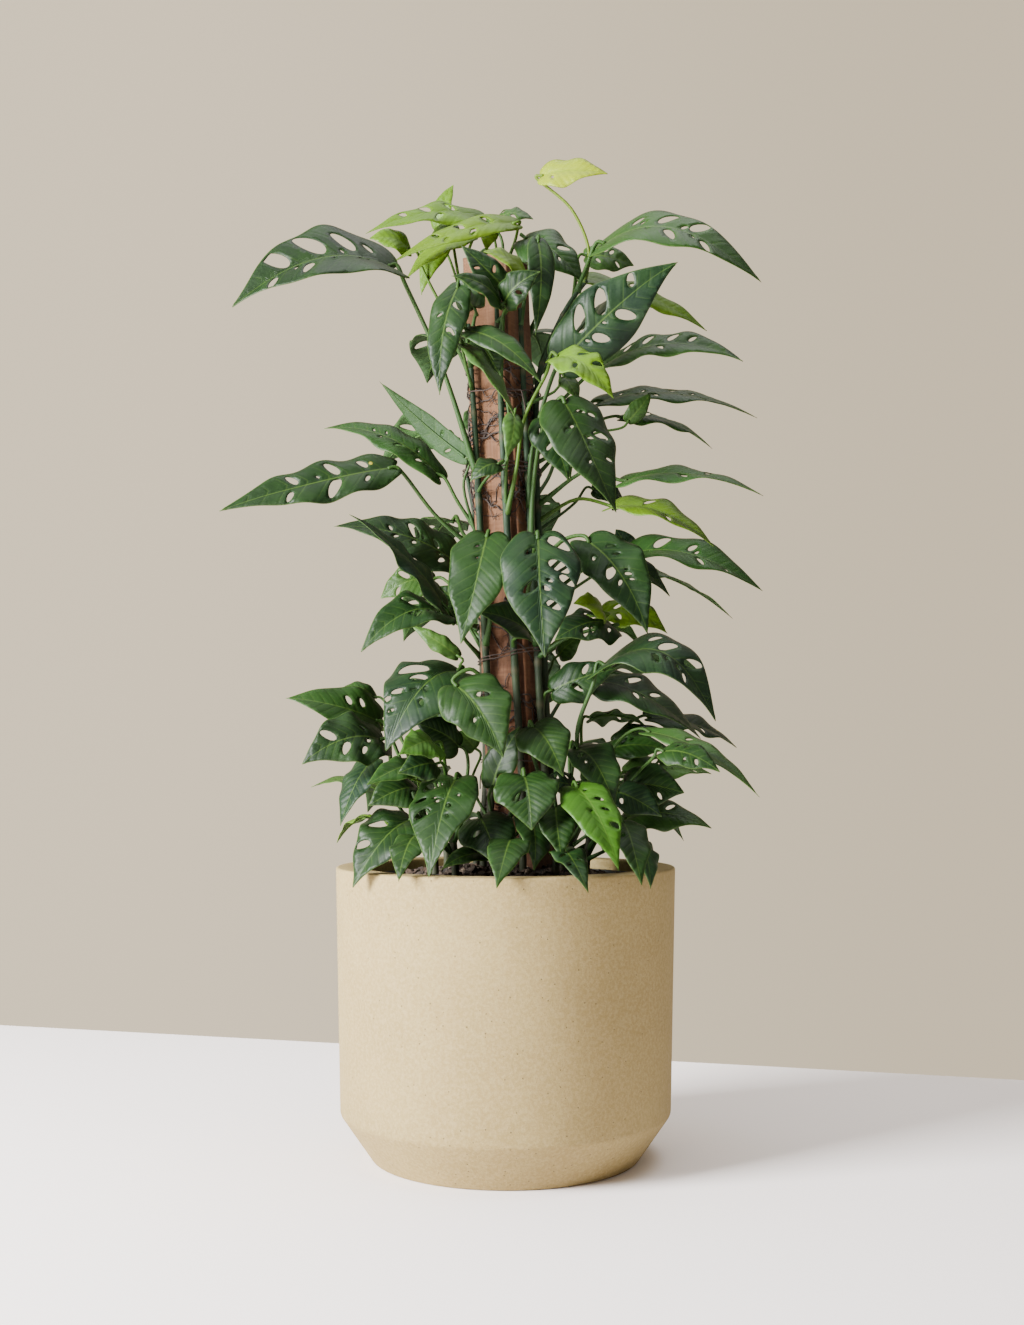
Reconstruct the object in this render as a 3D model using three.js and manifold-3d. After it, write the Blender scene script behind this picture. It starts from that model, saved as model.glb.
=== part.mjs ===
// Potted swiss cheese vine: leafy vines tied up a rough sawn post, standing in a plastic
// grow pot that sits inside a heavy round planter. Millimetres, +Z up, and the origin is
// the centre of the planter's flat foot. -Y is the front.
import * as THREE from 'three';
import { mergeVertices } from 'three/addons/utils/BufferGeometryUtils.js';
import Module from 'manifold-3d';

const wasm = await Module();
wasm.setup();

// Driving dimensions
const PLANTER_HEIGHT = 274;
const PLANTER_RIM_RADIUS = 160;
const PLANTER_CREASE_RADIUS = 156;
const PLANTER_CREASE_HEIGHT = 44;
const PLANTER_FOOT_RADIUS = 126;
const PLANTER_WALL = 24;
const PLANTER_FLOOR = 20;
const PLANTER_EDGE = 2;
const PLANTER_SIDES = 36;

const GROW_POT_HEIGHT = 244;
const GROW_POT_TOP_RADIUS = 128;
const GROW_POT_FOOT_RADIUS = 106;
const GROW_POT_WALL = 2;
const GROW_POT_LIP = 4;
const GROW_POT_LIP_HEIGHT = 10;

const SOIL_EDGE_HEIGHT = 256;
const SOIL_CROWN_HEIGHT = 274;
const SOIL_SIDES = 24;

const POST_WIDTH = 46.7;
const POST_CORNER = 2;
const POST_TURN = 26.6;
const POST_LEAN = -0.0463;
const POST_FOOT = [29.3, 0];
const POST_BOTTOM = 70;
const POST_TOP = 848;

const STEM_RADIUS = 3.6;
const STEM_SIDES = 6;
const STEM_STEP = 60;
const STEM_FOOT = 230;
const STEM_UPRIGHT = 290;
const STEM_HOLE = STEM_RADIUS + 2.2;

const BLADE_THICKNESS = 1;
const PETIOLE_HALF = 1.5;
const KNEE = 8;
const LARGE_BLADE = 56;
const SMALL_BLADE = 31;
const GAP = 0.4;

// Leaf points are noted as seen from the front: across, up and depth. A point slides along
// its line of sight as its depth changes, so the front view stays the same.
const EYE_DISTANCE = 1303;
const EYE_HEIGHT = 371;

function fromFront([across, up, depth]) {
  const reach = 1 + depth / EYE_DISTANCE;
  return new THREE.Vector3(across * reach, depth, EYE_HEIGHT + (up - EYE_HEIGHT) * reach);
}

function postAxis(height) {
  return new THREE.Vector3(POST_FOOT[0] + POST_LEAN * height, POST_FOOT[1], height);
}

// Solids and meshes
function solidFrom(geometry) {
  const bare = geometry.clone();
  bare.deleteAttribute('normal');
  bare.deleteAttribute('uv');
  const merged = mergeVertices(bare, 1e-4);
  return new wasm.Manifold(new wasm.Mesh({
    numProp: 3,
    vertProperties: new Float32Array(merged.attributes.position.array),
    triVerts: new Uint32Array(merged.index.array),
  }));
}

function geometryFrom(solid) {
  const mesh = solid.getMesh();
  const geometry = new THREE.BufferGeometry();
  geometry.setAttribute('position', new THREE.BufferAttribute(mesh.vertProperties, 3));
  geometry.setIndex(new THREE.BufferAttribute(mesh.triVerts, 1));
  geometry.computeVertexNormals();
  return geometry;
}

function ring(radius, sides) {
  const corners = [];
  for (let i = 0; i < sides; i += 1) {
    const angle = (2 * Math.PI * i) / sides;
    corners.push(new THREE.Vector2(radius * Math.cos(angle), radius * Math.sin(angle)));
  }
  return new THREE.Shape(corners);
}

function rod(curve, radius, sides, steps) {
  return solidFrom(new THREE.ExtrudeGeometry(ring(radius, sides), {
    steps,
    curveSegments: 1,
    extrudePath: curve,
  }));
}

function turned(profile, sides) {
  const geometry = new THREE.LatheGeometry(profile.map(([r, z]) => new THREE.Vector2(r, z)), sides);
  geometry.rotateX(Math.PI / 2);
  return solidFrom(geometry);
}

// The pots and the soil
function planterSolid() {
  const inner = PLANTER_RIM_RADIUS - PLANTER_WALL;
  return turned([
    [0, 0],
    [PLANTER_FOOT_RADIUS, 0],
    [PLANTER_CREASE_RADIUS, PLANTER_CREASE_HEIGHT],
    [PLANTER_RIM_RADIUS, PLANTER_HEIGHT - PLANTER_EDGE],
    [PLANTER_RIM_RADIUS - PLANTER_EDGE, PLANTER_HEIGHT],
    [inner + PLANTER_EDGE, PLANTER_HEIGHT],
    [inner, PLANTER_HEIGHT - PLANTER_EDGE],
    [inner - 8, PLANTER_FLOOR],
    [0, PLANTER_FLOOR],
  ], PLANTER_SIDES);
}

function growPotSolid() {
  const foot = PLANTER_FLOOR + GAP;
  const top = foot + GROW_POT_HEIGHT;
  return turned([
    [0, foot],
    [GROW_POT_FOOT_RADIUS, foot],
    [GROW_POT_TOP_RADIUS, top - GROW_POT_LIP_HEIGHT],
    [GROW_POT_TOP_RADIUS + GROW_POT_LIP, top - GROW_POT_LIP_HEIGHT],
    [GROW_POT_TOP_RADIUS + GROW_POT_LIP, top],
    [GROW_POT_TOP_RADIUS + GROW_POT_LIP - GROW_POT_WALL, top],
    [GROW_POT_TOP_RADIUS - GROW_POT_WALL, top - GROW_POT_LIP_HEIGHT],
    [GROW_POT_FOOT_RADIUS - GROW_POT_WALL, foot + GROW_POT_WALL],
    [0, foot + GROW_POT_WALL],
  ], PLANTER_SIDES);
}

function postSolid(growth) {
  const half = POST_WIDTH / 2 + growth;
  const cut = half - POST_CORNER;
  const corners = [];
  for (const [x, y] of [[1, 1], [-1, 1], [-1, -1], [1, -1]]) {
    const first = x * y > 0 ? [half, cut] : [cut, half];
    const second = x * y > 0 ? [cut, half] : [half, cut];
    corners.push(new THREE.Vector2(x * first[0], y * first[1]));
    corners.push(new THREE.Vector2(x * second[0], y * second[1]));
  }
  const geometry = new THREE.ExtrudeGeometry(new THREE.Shape(corners), {
    depth: POST_TOP - POST_BOTTOM + growth,
    bevelEnabled: false,
  });
  geometry.rotateZ(THREE.MathUtils.degToRad(-POST_TURN));
  geometry.translate(POST_FOOT[0], POST_FOOT[1], POST_BOTTOM - growth);
  geometry.applyMatrix4(new THREE.Matrix4().makeShear(0, 0, 0, 0, POST_LEAN, 0));
  return solidFrom(geometry);
}

function soilSolid(stems) {
  const foot = PLANTER_FLOOR + GAP + GROW_POT_WALL + GAP;
  const slope = (GROW_POT_TOP_RADIUS - GROW_POT_FOOT_RADIUS) / (GROW_POT_HEIGHT - GROW_POT_LIP_HEIGHT);
  const clear = GROW_POT_WALL + 1;
  const footRadius = GROW_POT_FOOT_RADIUS - clear;
  const edgeRadius = footRadius + slope * (SOIL_EDGE_HEIGHT - foot) - 1;
  let soil = turned([
    [0, foot],
    [footRadius, foot],
    [edgeRadius, SOIL_EDGE_HEIGHT],
    [edgeRadius * 0.8, SOIL_EDGE_HEIGHT + 8],
    [edgeRadius * 0.4, SOIL_CROWN_HEIGHT - 2],
    [0, SOIL_CROWN_HEIGHT],
  ], SOIL_SIDES);
  soil = soil.subtract(postSolid(GAP));
  for (const stem of stems) {
    const depth = SOIL_CROWN_HEIGHT - STEM_FOOT + 10;
    const hole = new THREE.CylinderGeometry(STEM_HOLE, STEM_HOLE, depth, STEM_SIDES);
    hole.rotateX(Math.PI / 2);
    hole.translate(stem[0][0], stem[0][1], STEM_FOOT - GAP + depth / 2);
    soil = soil.subtract(solidFrom(hole));
  }
  return soil;
}

// A blade lies along its midrib. Places on it are given as a share of its length, from the
// petiole to the tip, and a signed share of its half width.
const FULL_MARGIN = [[-0.06, 0.42], [0.09, 0.88], [0.33, 1], [0.62, 0.7], [0.85, 0.23]];
const PLAIN_MARGIN = [[-0.03, 0.5], [0.22, 1], [0.55, 0.8], [0.82, 0.3]];
const SMALL_MARGIN = [[-0.03, 0.5], [0.3, 1], [0.7, 0.54]];
const FULL_MIDRIB = [0.16, 0.42, 0.7];
const PLAIN_MIDRIB = [0.25, 0.6];
const SMALL_MIDRIB = [0.42];
const FOLD = 0.3;
const CURL = 0.3;
const VEIN_ANGLE = THREE.MathUtils.degToRad(52);
const HOLE_SLIM = 0.42;
const HOLE_EDGE = 2.2;

function bladeFrame(leaf) {
  const [, , base, tip, wide, face, bow] = leaf;
  const foot = fromFront(base);
  const along = fromFront(tip).sub(foot);
  const length = along.length();
  along.normalize();
  const up = new THREE.Vector3(...face);
  up.addScaledVector(along, -up.dot(along)).normalize();
  return { foot, along, length, up, side: along.clone().cross(up), half: wide / 2, bow };
}

// The midrib rises more steeply from the petiole than it falls to the tip.
function arch(share) {
  return 3.8 * share * (1 - share) * (1.3 - 0.6 * share);
}

function archSlope(share) {
  return 3.8 * (1.3 - 3.8 * share + 1.8 * share * share);
}

function bladePoint(blade, share, across, lift) {
  const slope = (blade.bow * archSlope(share)) / blade.length;
  const normal = blade.up.clone().addScaledVector(blade.along, -slope).normalize();
  const rise = blade.half * (FOLD * Math.abs(across) - CURL * across * across);
  return blade.foot.clone()
    .addScaledVector(blade.along, share * blade.length)
    .addScaledVector(blade.up, blade.bow * arch(share))
    .addScaledVector(blade.side, across * blade.half)
    .addScaledVector(normal, rise + lift);
}

function bladeCorners(wide) {
  if (wide >= LARGE_BLADE) return [FULL_MARGIN, FULL_MIDRIB];
  if (wide >= SMALL_BLADE) return [PLAIN_MARGIN, PLAIN_MIDRIB];
  return [SMALL_MARGIN, SMALL_MIDRIB];
}

function marginAt(margin, share) {
  const ends = [...margin, [1, 0]];
  const next = Math.max(1, ends.findIndex((end) => end[0] > share));
  const [from, to] = [ends[next - 1], ends[next]];
  return from[1] + ((to[1] - from[1]) * (share - from[0])) / (to[0] - from[0]);
}

// A hole lies along the side veins, with its long ends towards the rib and the margin, and
// stays clear of both.
function holeCorners(blade, margin, [share, across, size]) {
  const hand = Math.sign(across);
  const edge = HOLE_EDGE / blade.half;
  const reach = size * blade.half;
  const lean = [Math.cos(VEIN_ANGLE), hand * Math.sin(VEIN_ANGLE)];
  const turns = [[1, 0], [0, HOLE_SLIM], [-1, 0], [0, -HOLE_SLIM]];
  return turns.map(([long, slim]) => {
    const down = share + (reach * (long * lean[0] - slim * lean[1])) / blade.length;
    const out = Math.abs(across + (reach * (long * lean[1] + slim * lean[0])) / blade.half);
    return [down, hand * THREE.MathUtils.clamp(out, edge, marginAt(margin, down) - edge)];
  });
}

function leafSolid(leaf, start) {
  const [, via, base, , wide, , , holes] = leaf;
  const blade = bladeFrame(leaf);
  const [margin, midrib] = bladeCorners(wide);
  const places = [];
  const triangles = [];
  const add = (place) => places.push(place) - 1;

  const neck = PETIOLE_HALF / blade.half;
  const right = add([0, neck]);
  const left = add([0, -neck]);
  const rib = midrib.map((share) => add([share, 0]));
  const tipPlace = add([1, 0]);
  triangles.push([left, rib[0], right]);
  for (const hand of [1, -1]) {
    const outline = [hand > 0 ? right : left];
    outline.push(...margin.map(([share, across]) => add([share, hand * across])));
    outline.push(tipPlace, ...rib.slice().reverse());
    const cuts = holes.filter(([, across]) => across * hand > 0)
      .map((hole) => holeCorners(blade, margin, hole).map(add));
    const flat = (index) => {
      const [share, across] = places[index];
      return new THREE.Vector2(share * blade.length, across * blade.half);
    };
    const order = [...outline, ...cuts.flat()];
    const faces = THREE.ShapeUtils.triangulateShape(outline.map(flat), cuts.map((cut) => cut.map(flat)));
    for (const corners of faces) {
      triangles.push(corners.map((corner) => order[corner]));
    }
  }

  // Both faces share one set of triangles, and every open edge but the neck gets a wall.
  const area = ([i, j, k]) => (places[j][0] - places[i][0]) * (places[k][1] - places[i][1])
    - (places[k][0] - places[i][0]) * (places[j][1] - places[i][1]);
  const upper = triangles.map((corners) => (area(corners) > 0 ? corners.slice().reverse() : corners));
  const count = places.length;
  const points = [];
  for (const lift of [BLADE_THICKNESS / 2, -BLADE_THICKNESS / 2]) {
    points.push(...places.map(([share, across]) => bladePoint(blade, share, across, lift)));
  }
  const index = [];
  const edges = new Set();
  for (const [i, j, k] of upper) {
    index.push(i, j, k, k + count, j + count, i + count);
    edges.add(`${i},${j}`).add(`${j},${k}`).add(`${k},${i}`);
  }
  let neckEdge = [left, right];
  for (const edge of edges) {
    const [i, j] = edge.split(',').map(Number);
    if (edges.has(`${j},${i}`)) continue;
    if (i + j === left + right && Math.abs(i - j) === 1) {
      neckEdge = [i, j];
      continue;
    }
    index.push(j, i, i + count, j, i + count, j + count);
  }

  // The petiole runs from the stem through its points to the knee and into the neck.
  const knee = blade.foot.clone().addScaledVector(blade.along, -KNEE);
  const controls = [start, ...via.map(fromFront), knee];
  const curve = new THREE.CatmullRomCurve3(controls.concat([blade.foot]), false, 'centripetal');
  const path = [];
  for (let span = 0; span < controls.length - 1; span += 1) {
    const steps = controls[span].distanceTo(controls[span + 1]) > 70 ? 2 : 1;
    for (let step = 0; step < steps; step += 1) {
      path.push(curve.getPoint((span + step / steps) / controls.length));
    }
  }
  path.push(knee, blade.foot);
  const [i, j] = neckEdge;
  const hand = Math.sign(places[i][1]);
  let near = [i, j, j + count, i + count];
  let heading = blade.along.clone();
  const across = blade.side.clone();
  const up = blade.up.clone();
  for (let step = path.length - 2; step >= 0; step -= 1) {
    const behind = path[Math.max(step - 1, 0)];
    const tangent = path[step + 1].clone().sub(behind).normalize();
    const turn = new THREE.Quaternion().setFromUnitVectors(heading, tangent);
    across.applyQuaternion(turn);
    up.applyQuaternion(turn);
    heading = tangent;
    const [top, side, keel] = [[hand, 0.8], [-hand, 0.8], [0, -1.2]].map(([sideways, upwards]) => (
      points.push(path[step].clone()
        .addScaledVector(across, sideways * PETIOLE_HALF)
        .addScaledVector(up, upwards * PETIOLE_HALF)) - 1
    ));
    const far = [top, side, keel, keel];
    for (let s = 0; s < 4; s += 1) {
      const next = (s + 1) % 4;
      if (near[s] !== near[next]) index.push(near[next], near[s], far[s]);
      if (far[s] !== far[next]) index.push(near[next], far[s], far[next]);
    }
    near = far;
  }
  index.push(near[2], near[1], near[0]);

  const geometry = new THREE.BufferGeometry();
  geometry.setAttribute('position', new THREE.Float32BufferAttribute(points.flatMap((p) => p.toArray()), 3));
  geometry.setIndex(index);
  return solidFrom(geometry);
}

// A leafy stem: its path beside the post, then its leaves
function stemCurve(stem) {
  return new THREE.CatmullRomCurve3(stem.map((point) => new THREE.Vector3(...point)), false, 'centripetal');
}

function stemSteps(curve) {
  return Math.max(2, Math.round(curve.getLength() / STEM_STEP));
}

function stemAt(curve, height) {
  const joints = curve.getSpacedPoints(stemSteps(curve));
  const above = Math.max(1, joints.findIndex((joint) => joint.z > height));
  const [low, high] = [joints[above - 1], joints[above]];
  return low.clone().lerp(high, (height - low.z) / (high.z - low.z));
}

function inSoil(dx, dy, points) {
  return points.map(([x, y, height]) => [dx + x, dy + y, height]);
}

function besidePost(dx, dy, points) {
  return points.map(([x, y, height]) => {
    const axis = postAxis(Math.max(height, STEM_UPRIGHT));
    return [axis.x + dx + x, axis.y + dy + y, height];
  });
}

// Leaf columns: height on the stem, petiole points, base, tip, width, the way the upper
// face looks, how far the blade bows to that face, and holes as share, across and size.
const plants = {
  vine_front_left: {
    stem: besidePost(-26, -20, [
      [-10, -14, 230], [-10, -14, 290], [-1, -1, 340],
      [0, 0, 500], [0, 1, 650], [-2, -1, 782],
    ]),
    leaves: [
      // Long dark leaf, upper left
      [640, [[-62, 752, -34], [-96, 828, -36]], [-112, 844, -38], [-262, 808, -80], 80,
        [0.1, -0.72, 0.68], 23, [[0.1, 0.35, 0.14], [0.24, 0.42, 0.32], [0.44, 0.45, 0.42],
        [0.66, 0.36, 0.36], [0.52, -0.38, 0.24], [0.74, -0.28, 0.22]]],
      // Dark leaf against the post
      [742, [[-40, 800, -50]], [-46, 824, -60], [-63, 723, -76], 36, [-0.3, -1, 0.15], 9,
        [[0.2, -0.4, 0.34]]],
      [765, [[-28, 800, -40]], [-30, 806, -46], [-42, 840, -62], 32, [-0.5, -0.8, 0.2], 7, []],
      // Narrow pale leaf across the post
      [720, [[-39, 756, -50]], [-38, 768, -64], [10, 700, -84], 26, [0.6, -0.7, 0.4], 7, []],
      // Crumpled leaf at the tie
      [625, [[-20, 640, -40]], [-8, 656, -52], [-34, 640, -58], 24, [0.1, -0.8, 0.6], 6, []],
      // Broad plain leaf in front
      [480, [[-15, 510, -36], [-19, 545, -42], [-22, 568, -46]], [-18, 586, -62], [-43, 487, -98], 57,
        [-0.25, -1, 0.35], 10, []],
      // Two broad leaves over the middle
      [395, [[-10, 430, -72], [-33, 461, -88]], [-46, 444, -92], [-2, 378, -116], 60, [0.1, -0.95, 0.4],
        9, [[0.29, -0.35, 0.2]]],
    ],
  },
  vine_front: {
    stem: besidePost(-1, -31.6, [
      [1, -16, 230], [1, -16, 290], [3, -3, 350],
      [1, -1, 500], [0, -1, 650], [0, -1, 806],
    ]),
    leaves: [
      // Slit leaf and small leaves at the top of the post
      [715, [[-3, 765, -44], [0, 808, -40]], [0, 822, -42], [-43, 866, -52], 28, [-0.3, -0.9, 0.4], 6, []],
      [798, [[14, 828, -44]], [18, 838, -50], [-22, 860, -66], 30, [0.3, -0.7, 0.7], 6, []],
      [760, [[-2, 800, -46]], [-6, 810, -60], [-52, 838, -84], 25, [0.1, -0.8, 0.6], 7, []],
      // Folded dark leaf
      [780, [[2, 804, -46]], [0, 812, -60], [34, 842, -80], 30, [0.3, -0.9, 0.3], 7, []],
      [640, [[4, 690, -46], [-6, 745, -50], [-26, 777, -54]], [-35, 783, -64], [34, 737, -92], 27,
        [-0.15, -0.75, 0.65], 9, []],
      [735, [[-26, 762, -36]], [-24, 773, -42], [-5, 740, -50], 36, [-0.1, -1, 0.2], 5, []],
      // Lime leaf in front of the post
      [600, [[10, 650, -46], [18, 700, -52], [40, 746, -64]], [50, 759, -70], [104, 720, -100], 40,
        [-0.1, -0.75, 0.65], 12, [[0.55, -0.5, 0.3]]],
      [610, [[0, 640, -44], [4, 680, -50]], [8, 702, -60], [0, 662, -70], 20, [0.3, -0.9, 0.4], 5, []],
      // Plain leaf across the stems
      [478, [[8, 490, -42]], [22, 495, -56], [-31, 518, -78], 36, [0, -0.75, 0.65], 7, []],
    ],
  },
  vine_front_right: {
    stem: besidePost(21, -23, [
      [14, -10, 230], [14, -10, 290], [4, -2, 350],
      [1, 0, 500], [0, 0, 650], [0, 0, 796],
    ]),
    leaves: [
      // Large dark leaf facing forward, upper right
      [610, [[24, 660, -34], [34, 706, -36]], [56, 756, -42], [165, 854, -74], 61, [0.3, -0.95, 0.1], 9,
        [[0.25, -0.5, 0.4], [0.43, -0.44, 0.4], [0.67, -0.34, 0.24], [0.5, 0.36, 0.32],
        [0.28, 0.36, 0.28]]],
      // Large hanging leaf, right of the post
      [575, [[26, 630, -36], [34, 685, -46], [45, 711, -62]], [57, 714, -74], [106, 613, -112], 64,
        [0.25, -0.95, 0.3], 10, [[0.39, -0.55, 0.24], [0.13, -0.3, 0.14]]],
      [653, [[34, 684, -30]], [36, 698, -40], [60, 640, -56], 40, [-0.2, -0.9, 0.4], 7, []],
      [661, [[42, 682, -16]], [50, 684, -24], [62, 640, -34], 20, [0.3, -0.9, 0.3], 5, []],
      [780, [[24, 850, -22]], [31, 866, -26], [28, 780, -40], 26, [0.2, -1, 0.2], 7, []],
      [705, [[50, 728, -20]], [56, 738, -26], [70, 716, -34], 20, [0.2, -0.9, 0.4], 3, []],
      // Big leaf with long holes in front
      [480, [[20, 515, -40], [25, 556, -50]], [31, 585, -90], [38, 474, -128], 70, [0.05, -1, 0.3], 10,
        [[0.07, -0.5, 0.34], [0.14, 0.2, 0.18], [0.2, -0.26, 0.13], [0.3, -0.48, 0.3],
        [0.42, -0.66, 0.22], [0.46, 0.24, 0.26], [0.62, -0.3, 0.2]]],
      // Lime leaf and dark leaf below it
      [490, [[52, 508, -38]], [92, 515, -64], [64, 524, -84], 36, [0, -0.8, 0.6], 7, []],
      [470, [[62, 492, -40]], [101, 502, -58], [46, 489, -92], 48, [0, -0.75, 0.65], 10, []],
      [400, [[36, 430, -20]], [46, 441, -26], [106, 463, -34], 40, [-0.2, -0.9, 0.35], 6,
        [[0.35, 0.35, 0.3]]],
    ],
  },
  vine_right: {
    stem: besidePost(29, -5, [
      [10, -2, 230], [10, -2, 290], [2, -1, 340], [0, 0, 500],
      [2, 0, 680], [8, -1, 740], [36, -4, 800], [56, -6, 826],
    ]),
    leaves: [
      // Long leaf, upper right
      [815, [[78, 846, -12]], [95, 865, -18], [244, 831, -52], 62, [0.05, -0.72, 0.68], 32,
        [[0.18, -0.42, 0.22], [0.36, -0.45, 0.36], [0.56, -0.42, 0.36], [0.42, 0.42, 0.3],
        [0.64, 0.36, 0.28]]],
      // Pale new leaf at the very top
      [823, [[79, 858, -4], [62, 898, -6]], [36, 929, -8], [98, 934, -30], 34, [0.1, -0.95, 0.35], 6, []],
      [770, [[62, 796, 20]], [76, 830, 26], [191, 782, 44], 36, [0.1, -0.65, 0.75], 9,
        [[0.35, -0.4, 0.25]]],
      [755, [[62, 806, 6]], [78, 852, 12], [122, 843, 24], 32, [0, -0.9, 0.4], 6, []],
      [655, [[84, 684, -6]], [117, 697, -8], [138, 724, -10], 18, [0.4, -0.9, 0.1], 4, []],
      // Nearly level leaves on the right
      [690, [[70, 732, -2]], [97, 750, 4], [227, 757, -30], 48, [0, -0.6, 0.8], 15, [[0.3, -0.42, 0.3]]],
      [600, [[68, 622, -4]], [103, 614, -6], [199, 578, -40], 42, [0.05, -0.6, 0.8], 14,
        [[0.3, -0.45, 0.3]]],
      [615, [[80, 650, -20]], [116, 640, -30], [246, 630, -60], 48, [0, -0.5, 0.85], 12,
        [[0.42, 0.4, 0.32]]],
      [560, [[56, 584, -30]], [80, 581, -52], [136, 498, -84], 56, [0.2, -0.95, 0.35], 10,
        [[0.4, 0.28, 0.32], [0.16, -0.38, 0.16]]],
      [545, [[62, 572, -14]], [88, 573, -26], [157, 530, -44], 38, [0, -0.65, 0.7], 10, []],
      [475, [[70, 505, -6]], [92, 513, -8], [154, 496, -26], 46, [0, -0.65, 0.7], 10, []],
      [430, [[62, 442, 6]], [82, 449, 6], [186, 396, -16], 58, [0.1, -0.65, 0.75], 16, [[0.12, -0.4, 0.2],
        [0.3, -0.45, 0.3], [0.52, -0.3, 0.22], [0.4, 0.3, 0.2]]],
    ],
  },
  vine_back_right: {
    stem: besidePost(23, 21, [
      [14, 14, 230], [14, 14, 290], [4, 4, 340],
      [0, 0, 500], [0, 0, 680], [0, 2, 800],
    ]),
    leaves: [
      [770, [[44, 842, 26]], [20, 868, 20], [76, 826, 4], 56, [0.1, -0.85, 0.5], 12, [[0.3, 0.4, 0.3],
        [0.5, -0.4, 0.25], [0.5, 0.4, 0.22]]],
      [660, [[60, 694, 30]], [93, 714, 40], [238, 701, 50], 50, [0, -0.52, 0.85], 13, [[0.3, 0.45, 0.3],
        [0.45, -0.4, 0.3]]],
      [640, [[74, 688, 44]], [112, 697, 62], [195, 671, 78], 36, [0, -0.5, 0.85], 9, [[0.25, -0.4, 0.3]]],
      [520, [[76, 556, 16]], [120, 570, 14], [244, 536, 4], 48, [0, -0.6, 0.8], 18, [[0.2, -0.45, 0.42]]],
      [510, [[70, 540, 44]], [112, 556, 62], [214, 511, 86], 34, [0, -0.4, 0.9], 9, []],
      [590, [[66, 618, 34]], [84, 630, 44], [112, 620, 54], 26, [0, -0.9, 0.4], 5, []],
      [540, [[84, 570, 30]], [112, 574, 36], [104, 594, 24], 24, [0, -1, 0.2], 5, []],
      [470, [[66, 494, 36]], [86, 500, 50], [127, 482, 74], 28, [0, -0.1, 1], 8, []],
      [440, [[44, 464, 22]], [51, 474, 16], [74, 493, 8], 24, [-0.2, -0.95, 0.2], 4, []],
      [430, [[78, 452, 36]], [100, 462, 60], [188, 452, 120], 54, [0.1, 0.3, 0.95], 15, [[0.3, 0.45, 0.3],
        [0.5, -0.45, 0.3]]],
      [730, [[60, 770, 50]], [84, 792, 74], [140, 800, 140], 60, [0.1, 0.4, 0.9], 16, [[0.3, 0.45, 0.3]]],
      [620, [[40, 640, 60]], [54, 664, 96], [88, 650, 176], 58, [0.2, 0.5, 0.85], 16, [[0.3, 0.45, 0.3]]],
      [400, [[52, 430, 60]], [70, 446, 92], [122, 430, 158], 56, [0.2, 0.5, 0.85], 16, [[0.3, 0.45, 0.3]]],
    ],
  },
  vine_back: {
    stem: besidePost(3, 31, [
      [-4, 12, 230], [-4, 12, 290], [-2, 2, 340],
      [0, 0, 500], [2, 1, 680], [4, 2, 852],
    ]),
    leaves: [
      // Lime leaves over the top of the post
      [846, [[9, 866, 30], [12, 880, 16]], [6, 883, 6], [-108, 847, -8], 32, [-0.1, -0.85, 0.5], 12, []],
      [838, [[-4, 868, 36]], [-8, 885, 36], [27, 886, 30], 30, [0, -0.8, 0.6], 7, []],
      [830, [[-10, 866, 22]], [-15, 880, 12], [-19, 857, 0], 18, [0, -1, 0.2], 3, []],
      // Leaves that face away
      [800, [[0, 838, 56]], [2, 846, 92], [-18, 800, 170], 58, [0, 0.7, 0.7], 16, [[0.3, 0.45, 0.3]]],
      [730, [[16, 762, 56]], [20, 776, 84], [38, 734, 160], 64, [0.1, 0.7, 0.7], 16, [[0.3, 0.45, 0.3]]],
      [660, [[-6, 690, 54]], [-10, 704, 80], [-22, 648, 146], 60, [-0.1, 0.85, 0.5], 14,
        [[0.3, 0.45, 0.3]]],
      [580, [[8, 606, 56]], [12, 618, 86], [34, 566, 156], 66, [0.1, 0.8, 0.6], 15, [[0.3, 0.45, 0.3]]],
      [500, [[0, 530, 56]], [-6, 546, 84], [-30, 492, 150], 64, [-0.1, 0.8, 0.6], 15, [[0.3, 0.45, 0.3]]],
      [430, [[12, 462, 54]], [16, 474, 78], [40, 424, 150], 64, [0.1, 0.8, 0.6], 15, [[0.3, 0.45, 0.3]]],
    ],
  },
  vine_back_left: {
    stem: besidePost(-20, 23, [
      [-12, 10, 230], [-12, 10, 290], [-2, 2, 340],
      [0, 0, 500], [0, 0, 680], [-6, 2, 812],
    ]),
    leaves: [
      // Lime leaves, upper left
      [790, [[-18, 862, 40]], [-26, 888, 38], [-133, 874, 16], 36, [0, -0.8, 0.6], 11,
        [[0.46, 0.42, 0.42]]],
      [780, [[-54, 850, 52]], [-64, 878, 58], [-49, 919, 54], 22, [-0.5, -0.8, 0.2], 5, []],
      [740, [[-50, 866, 40]], [-54, 878, 38], [-80, 815, 26], 30, [-0.2, -0.95, 0.3], 6, []],
      [798, [[-36, 852, 32]], [-35, 870, 24], [-95, 830, 2], 28, [-0.1, -0.85, 0.5], 8, []],
      [750, [[-78, 838, 22]], [-92, 858, 18], [-130, 869, 4], 28, [0, -0.85, 0.5], 7, []],
      // Leaves that face away
      [720, [[-44, 760, 50]], [-56, 772, 84], [-74, 728, 150], 60, [-0.3, 0.75, 0.6], 15,
        [[0.3, 0.45, 0.3]]],
      [640, [[-44, 668, 44]], [-58, 682, 66], [-118, 652, 128], 56, [-0.3, 0.6, 0.75], 15,
        [[0.3, 0.45, 0.3]]],
      [560, [[-40, 588, 50]], [-50, 600, 84], [-80, 556, 150], 58, [-0.3, 0.75, 0.6], 15,
        [[0.3, 0.45, 0.3]]],
      [480, [[-44, 510, 46]], [-56, 520, 74], [-96, 488, 136], 56, [-0.3, 0.7, 0.65], 15,
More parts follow.
